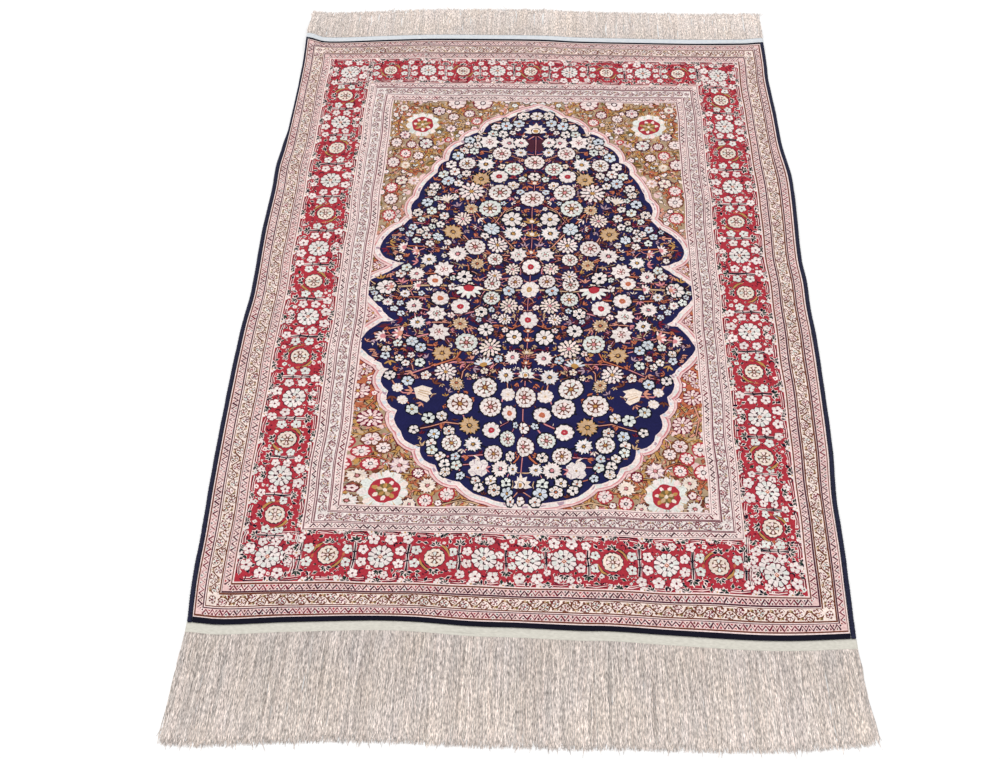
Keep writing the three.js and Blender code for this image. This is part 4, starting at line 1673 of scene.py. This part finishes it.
def over_cord(side, end_y):
    """How far a heading goes on past the side of the cloth, over the end of the cord."""
    return side * (GAP + float(cord_width(side, np.array([end_y]))[0]))


def end_line(share, toward):
    """Points of the cloth's edge at one end. Beyond -1 and 1 they go on over the cords."""
    inside = np.clip(share, -1, 1)
    x, y = lay_out(inside * HALF_WIDTH, np.full_like(inside, toward * HALF_LENGTH))
    beyond = np.clip(np.abs(share) - 1, 0, None) / 0.02
    reach_left, reach_right = over_cord(-1, toward * HALF_LENGTH), over_cord(1, toward * HALF_LENGTH)
    return x + beyond * np.where(share < 0, reach_left, reach_right), y


def heading(name, toward, material):
    """The flat-woven strip that the fringe grows from, with a rib for each weft."""
    cols, rows = 440, 10
    edge_x, edge_y = end_line(np.linspace(-1.02, 1.02, cols + 1), toward)
    v = np.linspace(0, 1, rows + 1)[:, None]
    x = np.repeat(edge_x[None, :], rows + 1, axis=0)
    y = edge_y[None, :] + toward * (GAP + v * HEADING_WIDTH)
    ribs = 0.12 * np.cos(np.arange(rows + 1) * math.pi)[:, None] + 0.1 * np.sin(x / 1.4 + y)
    rim = np.where((v == 0) | (v == 1), 0.5, 0)
    ground = lift(x, y)
    top = to_frame(x, y, ground + HEADING_THICK + ribs - rim - 0.1).reshape(-1, 3)
    bottom = to_frame(x, y, ground).reshape(-1, 3)
    across, count = cols + 1, len(top)
    loop = list(range(across)) + [r * across + cols for r in range(1, rows + 1)]
    loop += [rows * across + c for c in range(cols - 1, -1, -1)]
    loop += [r * across for r in range(rows - 1, 0, -1)]
    faces = grid_faces(rows, cols)
    faces += [[count + loop[i - 1], count + loop[i], loop[i], loop[i - 1]] for i in range(len(loop))]
    faces.append([count + i for i in loop[::-1]])
    if toward < 0:
        faces = [f[::-1] for f in faces]
    return mesh_piece(name, np.concatenate([top, bottom]), faces, material)


def strand_lengths(chance, lengths, edge_x):
    """How long each strand of a fringe is, with a few that stand out."""
    count = len(edge_x)
    length = along(lengths, edge_x) + 1 - np.abs(chance.normal(0, 6.5, count))
    long_ones = chance.random(count) < 0.05
    return np.where(long_ones, length + chance.uniform(0, 8, count), length)[:, None]


def bunches(edge_x, layer):
    """The bunch of each strand, the number of bunches, and the way to the middle of its own."""
    bunch = np.floor(edge_x / 4.4 + 0.4 * layer + 0.4 * np.sin(edge_x / 9)).astype(int)
    bunch -= bunch.min()
    total = bunch.max() + 1
    middles = np.bincount(bunch, edge_x, total) / np.maximum(np.bincount(bunch, minlength=total), 1)
    return bunch, total, (middles[bunch] - edge_x)[:, None]


def strand_faces(count, steps):
    """The two long faces of the ridge of each strand, step by step."""
    base = (np.arange(count) * (steps + 1) * 3)[:, None, None] + (np.arange(steps) * 3)[None, :, None]
    left = base + np.array([0, 1, 4, 3])
    right = base + np.array([1, 2, 5, 4])
    return np.concatenate([left, right], axis=2).reshape(-1, 4)


def strand_colours(chance, tones, bunch, total, steps):
    """Undyed silk, a little different from strand to strand and paler at the tips, with painted shade on
    the right face of each strand's ridge and painted light on its left face.
    """
    count = len(bunch)
    yarns = np.stack([LINEAR[yarn] for yarn in ("ivory", "shell", "mint", "sky")])
    mix = chance.dirichlet([10, 7, 6, 2], count) @ yarns
    tone = chance.uniform(*tones, (count, 1))
    mix *= tone * chance.uniform(0.9, 1.06, total)[bunch][:, None]
    # Painted shade and light: the right face of each strand is painted darker (0.86) and the left face
    # lighter (1.07), as if lit from one side. The rise along each strand makes the tips paler.
    tip_pale_and_side_shade = np.linspace(0.96, 1.08, steps)[:, None] * np.array([1.07, 0.86])
    return (mix[:, None, None, :] * tip_pale_and_side_shade[None, :, :, None]).reshape(-1, 3)


# Fringe lengths across the rug, as in the solids.
NEAR_LENGTHS = [(-450, 153), (-60, 150), (180, 143), (450, 128)]
FAR_LENGTHS = [(-450, 82), (0, 86), (450, 84)]


def fringe(name, toward, lengths, lean, count, layer, tones, material, seed):
    """Loose warps as fine ridged strands, gathered in bunches that lie a little across each other."""
    chance = np.random.default_rng(seed)
    steps = 10 if toward < 0 else 7
    share = (2 * np.arange(count) + chance.uniform(0, 2, count)) / count - 1
    edge_x, edge_y = end_line(share * 1.019, toward)
    root_y = edge_y + toward * (GAP + HEADING_WIDTH - 1)
    length = strand_lengths(chance, lengths, edge_x)
    bunch, total, inwards = bunches(edge_x, layer)
    t = np.linspace(0, 1, steps + 1)[None, :]
    tip = (np.clip(t - 0.8, 0, 1) / 0.2) ** 2
    free = np.clip(t / 0.12, 0, 1)
    slant = chance.normal(0, 0.012 + 0.03 * layer, total)[bunch] + chance.normal(0, 0.02, count)
    sway = (0.4 + 1.2 * layer) * chance.normal(0, 1, total)[bunch][:, None]
    sway = sway * np.sin(t * 4 + chance.uniform(0, 6, total)[bunch][:, None])
    phase = chance.uniform(0, 6.28, (count, 1))
    wiggle = chance.uniform(0.3, 1.3, (count, 1)) * np.sin(phase + t * chance.uniform(7, 18, (count, 1)))
    gather = 0.36 * layer * inwards * (0.4 + 0.6 * t)
    loose = slant[:, None] * length * t * 0.5 + sway + wiggle + gather
    curl = chance.normal(0, 4.2, (count, 1)) * tip
    x = edge_x[:, None] + lean * share[:, None] * t + free * loose + curl
    y = root_y[:, None] + toward * length * t * (1 - 0.02 * tip)
    high = chance.uniform(0.15, 1.9, (count, 1)) * (0.3 + 0.7 * layer)
    level = lift(x, y) + 0.85 * (1 - free) + free * (high * (1 - 0.45 * t) + 0.15 * np.abs(wiggle))
    half = np.where(t < 0.9, 0.6, 0.6 * (1 - t) / 0.1 + 0.12) * chance.uniform(0.7, 1.25, (count, 1))
    ridge = [(x - half, level), (x, level + 1.2 * half), (x + half, level)]
    points = np.stack([to_frame(side, y, z) for side, z in ridge], axis=2).reshape(-1, 3)
    faces = strand_faces(count, steps)
    if toward > 0:
        faces = faces[:, ::-1]
    colours = strand_colours(chance, tones, bunch, total, steps)
    return mesh_piece(name, points, faces, material, colours)


# Materials


class Material:
    """A material whose colour and bump are built up from nodes."""

    def __init__(self, name, values):
        self.made = bpy.data.materials.new(name)
        self.made.use_nodes = True
        self.shader = self.made.node_tree.nodes["Principled BSDF"]
        for socket, value in values.items():
            self.shader.inputs[socket].default_value = value

    def link(self, output, socket):
        self.made.node_tree.links.new(output, socket)

    def node(self, kind):
        return self.made.node_tree.nodes.new(kind)

    def colour(self, output):
        """Makes an output the colour of the material."""
        self.link(output, self.shader.inputs["Base Color"])

    def noise(self, scale, detail, stretch=(1, 1, 1)):
        """Noise in the object's own metres, stretched by direction."""
        mapping = self.node("ShaderNodeMapping")
        mapping.inputs["Scale"].default_value = stretch
        texture = self.node("ShaderNodeTexNoise")
        texture.inputs["Scale"].default_value = scale
        texture.inputs["Detail"].default_value = detail
        self.link(self.node("ShaderNodeTexCoord").outputs["Object"], mapping.inputs["Vector"])
        self.link(mapping.outputs["Vector"], texture.inputs["Vector"])
        return texture.outputs["Fac"]

    def ranged(self, noise, low, high):
        """Noise spread over a range."""
        node = self.node("ShaderNodeMapRange")
        values = {"From Min": 0.3, "From Max": 0.7, "To Min": low, "To Max": high}
        for socket, value in values.items():
            node.inputs[socket].default_value = value
        self.link(noise, node.inputs["Value"])
        return node.outputs["Result"]

    def scaled(self, colour, factor):
        """A colour times a grey factor."""
        node = self.node("ShaderNodeVectorMath")
        node.operation = "SCALE"
        self.link(colour, node.inputs[0])
        self.link(factor, node.inputs["Scale"])
        return node.outputs["Vector"]

    def mixed(self, first, second, factor):
        """A mix of two linear colours."""
        node = self.node("ShaderNodeMix")
        node.data_type = "RGBA"
        node.inputs["A"].default_value = (*first, 1)
        node.inputs["B"].default_value = (*second, 1)
        self.link(factor, node.inputs["Factor"])
        return node.outputs["Result"]

    def yarn(self):
        """The colour that a mesh carries for each of its faces."""
        node = self.node("ShaderNodeAttribute")
        node.attribute_name = "yarn"
        return node.outputs["Color"]

    def bump(self, height, distance, strength):
        """Relief from a noise, with its depth in metres."""
        node = self.node("ShaderNodeBump")
        node.inputs["Distance"].default_value = distance
        node.inputs["Strength"].default_value = strength
        self.link(height, node.inputs["Height"])
        self.link(node.outputs["Normal"], self.shader.inputs["Normal"])


def silk_pile_material():
    """Clipped silk: the yarn's colour, flecked knot by knot, with the sheen of the pile."""
    silk = Material("silk_pile", {
        "Roughness": 0.65, "Specular IOR Level": 0.06, "Sheen Weight": 0.02, "Sheen Roughness": 0.4,
    })
    knots = silk.ranged(silk.noise(330, 3), 0.8, 1.12)
    rows = silk.ranged(silk.noise(46, 3, (0.25, 1.6, 1)), 0.91, 1.08)
    silk.colour(silk.scaled(silk.scaled(silk.yarn(), knots), rows))
    silk.bump(silk.noise(900, 1), 0.0003, 0.5)
    return silk.made


def back_material():
    """The back of the knots: crisper, flatter and duller than the pile."""
    back = Material("silk_back", {"Roughness": 0.8})
    back.colour(back.scaled(back.yarn(), back.ranged(back.noise(800, 1), 0.8, 1.1)))
    back.bump(back.noise(900, 0), 0.0003, 0.6)
    return back.made


def overcast_material():
    """Navy silk wrapped round the side, with a little fuzz."""
    silk = Material("overcast_silk", {"Roughness": 0.7, "Specular IOR Level": 0.15, "Sheen Weight": 0.04})
    turns = silk.ranged(silk.noise(260, 4, (1, 2.4, 1)), 0, 1)
    silk.colour(silk.mixed(linear("#0e0e20"), linear("#272a46"), turns))
    silk.bump(silk.noise(700, 3, (1, 3, 1)), 0.0005, 0.8)
    return silk.made


def heading_material(name, pale, shade):
    """Plain weave in undyed silk."""
    weave = Material(name, {"Roughness": 0.75})
    threads = weave.ranged(weave.noise(190, 3, (1, 2.5, 1)), 0, 1)
    weave.colour(weave.mixed(linear(pale), linear(shade), threads))
    weave.bump(weave.noise(800, 1), 0.0004, 0.6)
    return weave.made


def fringe_material():
    """Undyed silk warps, warm in some places and cool in others, with painted shade in fine streaks where
    the gaps between them fall and painted light between the streaks.
    """
    warps = Material("fringe_silk", {"Roughness": 0.6, "Specular IOR Level": 0.2})
    places = warps.ranged(warps.noise(22, 3, (1, 0.5, 1)), 0, 1)
    patches = warps.mixed((0.965, 0.925, 0.875), (0.955, 0.935, 0.925), places)
    product = warps.node("ShaderNodeVectorMath")
    product.operation = "MULTIPLY"
    warps.link(warps.yarn(), product.inputs[0])
    warps.link(patches, product.inputs[1])
    # Painted shade and light: fine stretched streaks darken the warps' colour down to 0.42 where the gaps
    # between strands would lie in shade, and lighten it up to 1.42 elsewhere.
    gap_shade_streaks = warps.ranged(warps.noise(190, 2, (4.8, 1.0, 1)), 0.42, 1.42)
    warps.colour(warps.scaled(product.outputs["Vector"], gap_shade_streaks))
    return warps.made


def floor_material():
    """A matt, nearly white floor."""
    return Material("pale_floor", {"Base Color": (0.94, 0.94, 0.94, 1), "Roughness": 0.9}).made


# Camera, light and floor

CAMERA_PLACE = Vector((0.01476, -1.23294, 1.42242))
CAMERA_LOOK = Vector((-0.03121, 0.58622, -0.80955))
CAMERA_UP = Vector((-0.01897, 0.80945, 0.58688))
CAMERA_LENS = 41.4


def add_camera():
    """The camera that the photo's perspective was undone to."""
    data = bpy.data.cameras.new("camera")
    data.lens = CAMERA_LENS
    data.sensor_width = 36
    camera = bpy.data.objects.new("camera", data)
    bpy.context.scene.collection.objects.link(camera)
    back = -CAMERA_LOOK.normalized()
    right = CAMERA_UP.cross(back).normalized()
    turned = Matrix((right, back.cross(right), back)).transposed().to_4x4()
    place = CAMERA_PLACE + Vector((SHIFT_X * MM, SHIFT_Y * MM, 0))
    camera.matrix_world = Matrix.Translation(place) @ turned
    bpy.context.scene.camera = camera


def add_sun(name, strength, spread, direction):
    """A broad light from afar, whose spread is in degrees."""
    data = bpy.data.lights.new(name, "SUN")
    data.energy = strength
    data.angle = math.radians(spread)
    sun = bpy.data.objects.new(name, data)
    sun.rotation_mode = "QUATERNION"
    sun.rotation_quaternion = Vector(direction).to_track_quat("-Z", "Y")
    bpy.context.scene.collection.objects.link(sun)


# The floor's half width in metres, and how far it lies below the rug.
FLOOR_REACH = 6.0
FLOOR_DROP = 0.0002


def add_stage():
    """An even white sky, two soft suns and the floor."""
    world = bpy.data.worlds.new("studio")
    world.use_nodes = True
    sky = world.node_tree.nodes["Background"]
    sky.inputs["Color"].default_value = (1, 1, 1, 1)
    sky.inputs["Strength"].default_value = 0.82
    bpy.context.scene.world = world
    add_sun("key", 0.9, 40, (0.25, 0.2, -1))
    add_sun("far_fill", 0.25, 60, (0.05, -0.9, -0.8))
    mesh = bpy.data.meshes.new("floor")
    corners = rectangle((-FLOOR_REACH, FLOOR_REACH, -FLOOR_REACH, FLOOR_REACH))
    mesh.from_pydata([(x, y, 0) for x, y in corners], [], [(0, 1, 2, 3)])
    mesh.materials.append(floor_material())
    floor = bpy.data.objects.new("floor", mesh)
    floor.location.z = -FLOOR_DROP
    bpy.context.scene.collection.objects.link(floor)
    bpy.context.scene.view_settings.view_transform = "Standard"


add_camera()
add_stage()

silk = silk_pile_material()
overcast = overcast_material()
warps = fringe_material()

piles = pile_pieces(silk)
cloth = foundation(back_material())
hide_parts("rug_body")
cords = [
    side_cord("overcast_left", -1, overcast),
    side_cord("overcast_right", 1, overcast),
]
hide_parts("side_cord_left")
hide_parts("side_cord_right")
headings = [
    heading("heading_near", -1, heading_material("heading_warm", "#d8d4c9", "#c6c2b7")),
    heading("heading_far", 1, heading_material("heading_cool", "#dfe1e2", "#c6ccd4")),
]
# The near fringe's under layer has darker tones (0.66 to 1.0) than its over layer (0.78 to 1.22). This is
# painted shade beneath the over layer.
fringes = [
    fringe("fringe_near_under_shaded", -1, NEAR_LENGTHS, 5, 2200, 0.0, (0.66, 1.0), warps, 31),
    fringe("fringe_near_over", -1, NEAR_LENGTHS, 5, 2200, 1.0, (0.78, 1.22), warps, 32),
    fringe("fringe_far_loose", 1, FAR_LENGTHS, 1, 2900, 0.5, (0.9, 1.28), warps, 33),
]
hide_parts("fringe_near")
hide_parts("fringe_far")
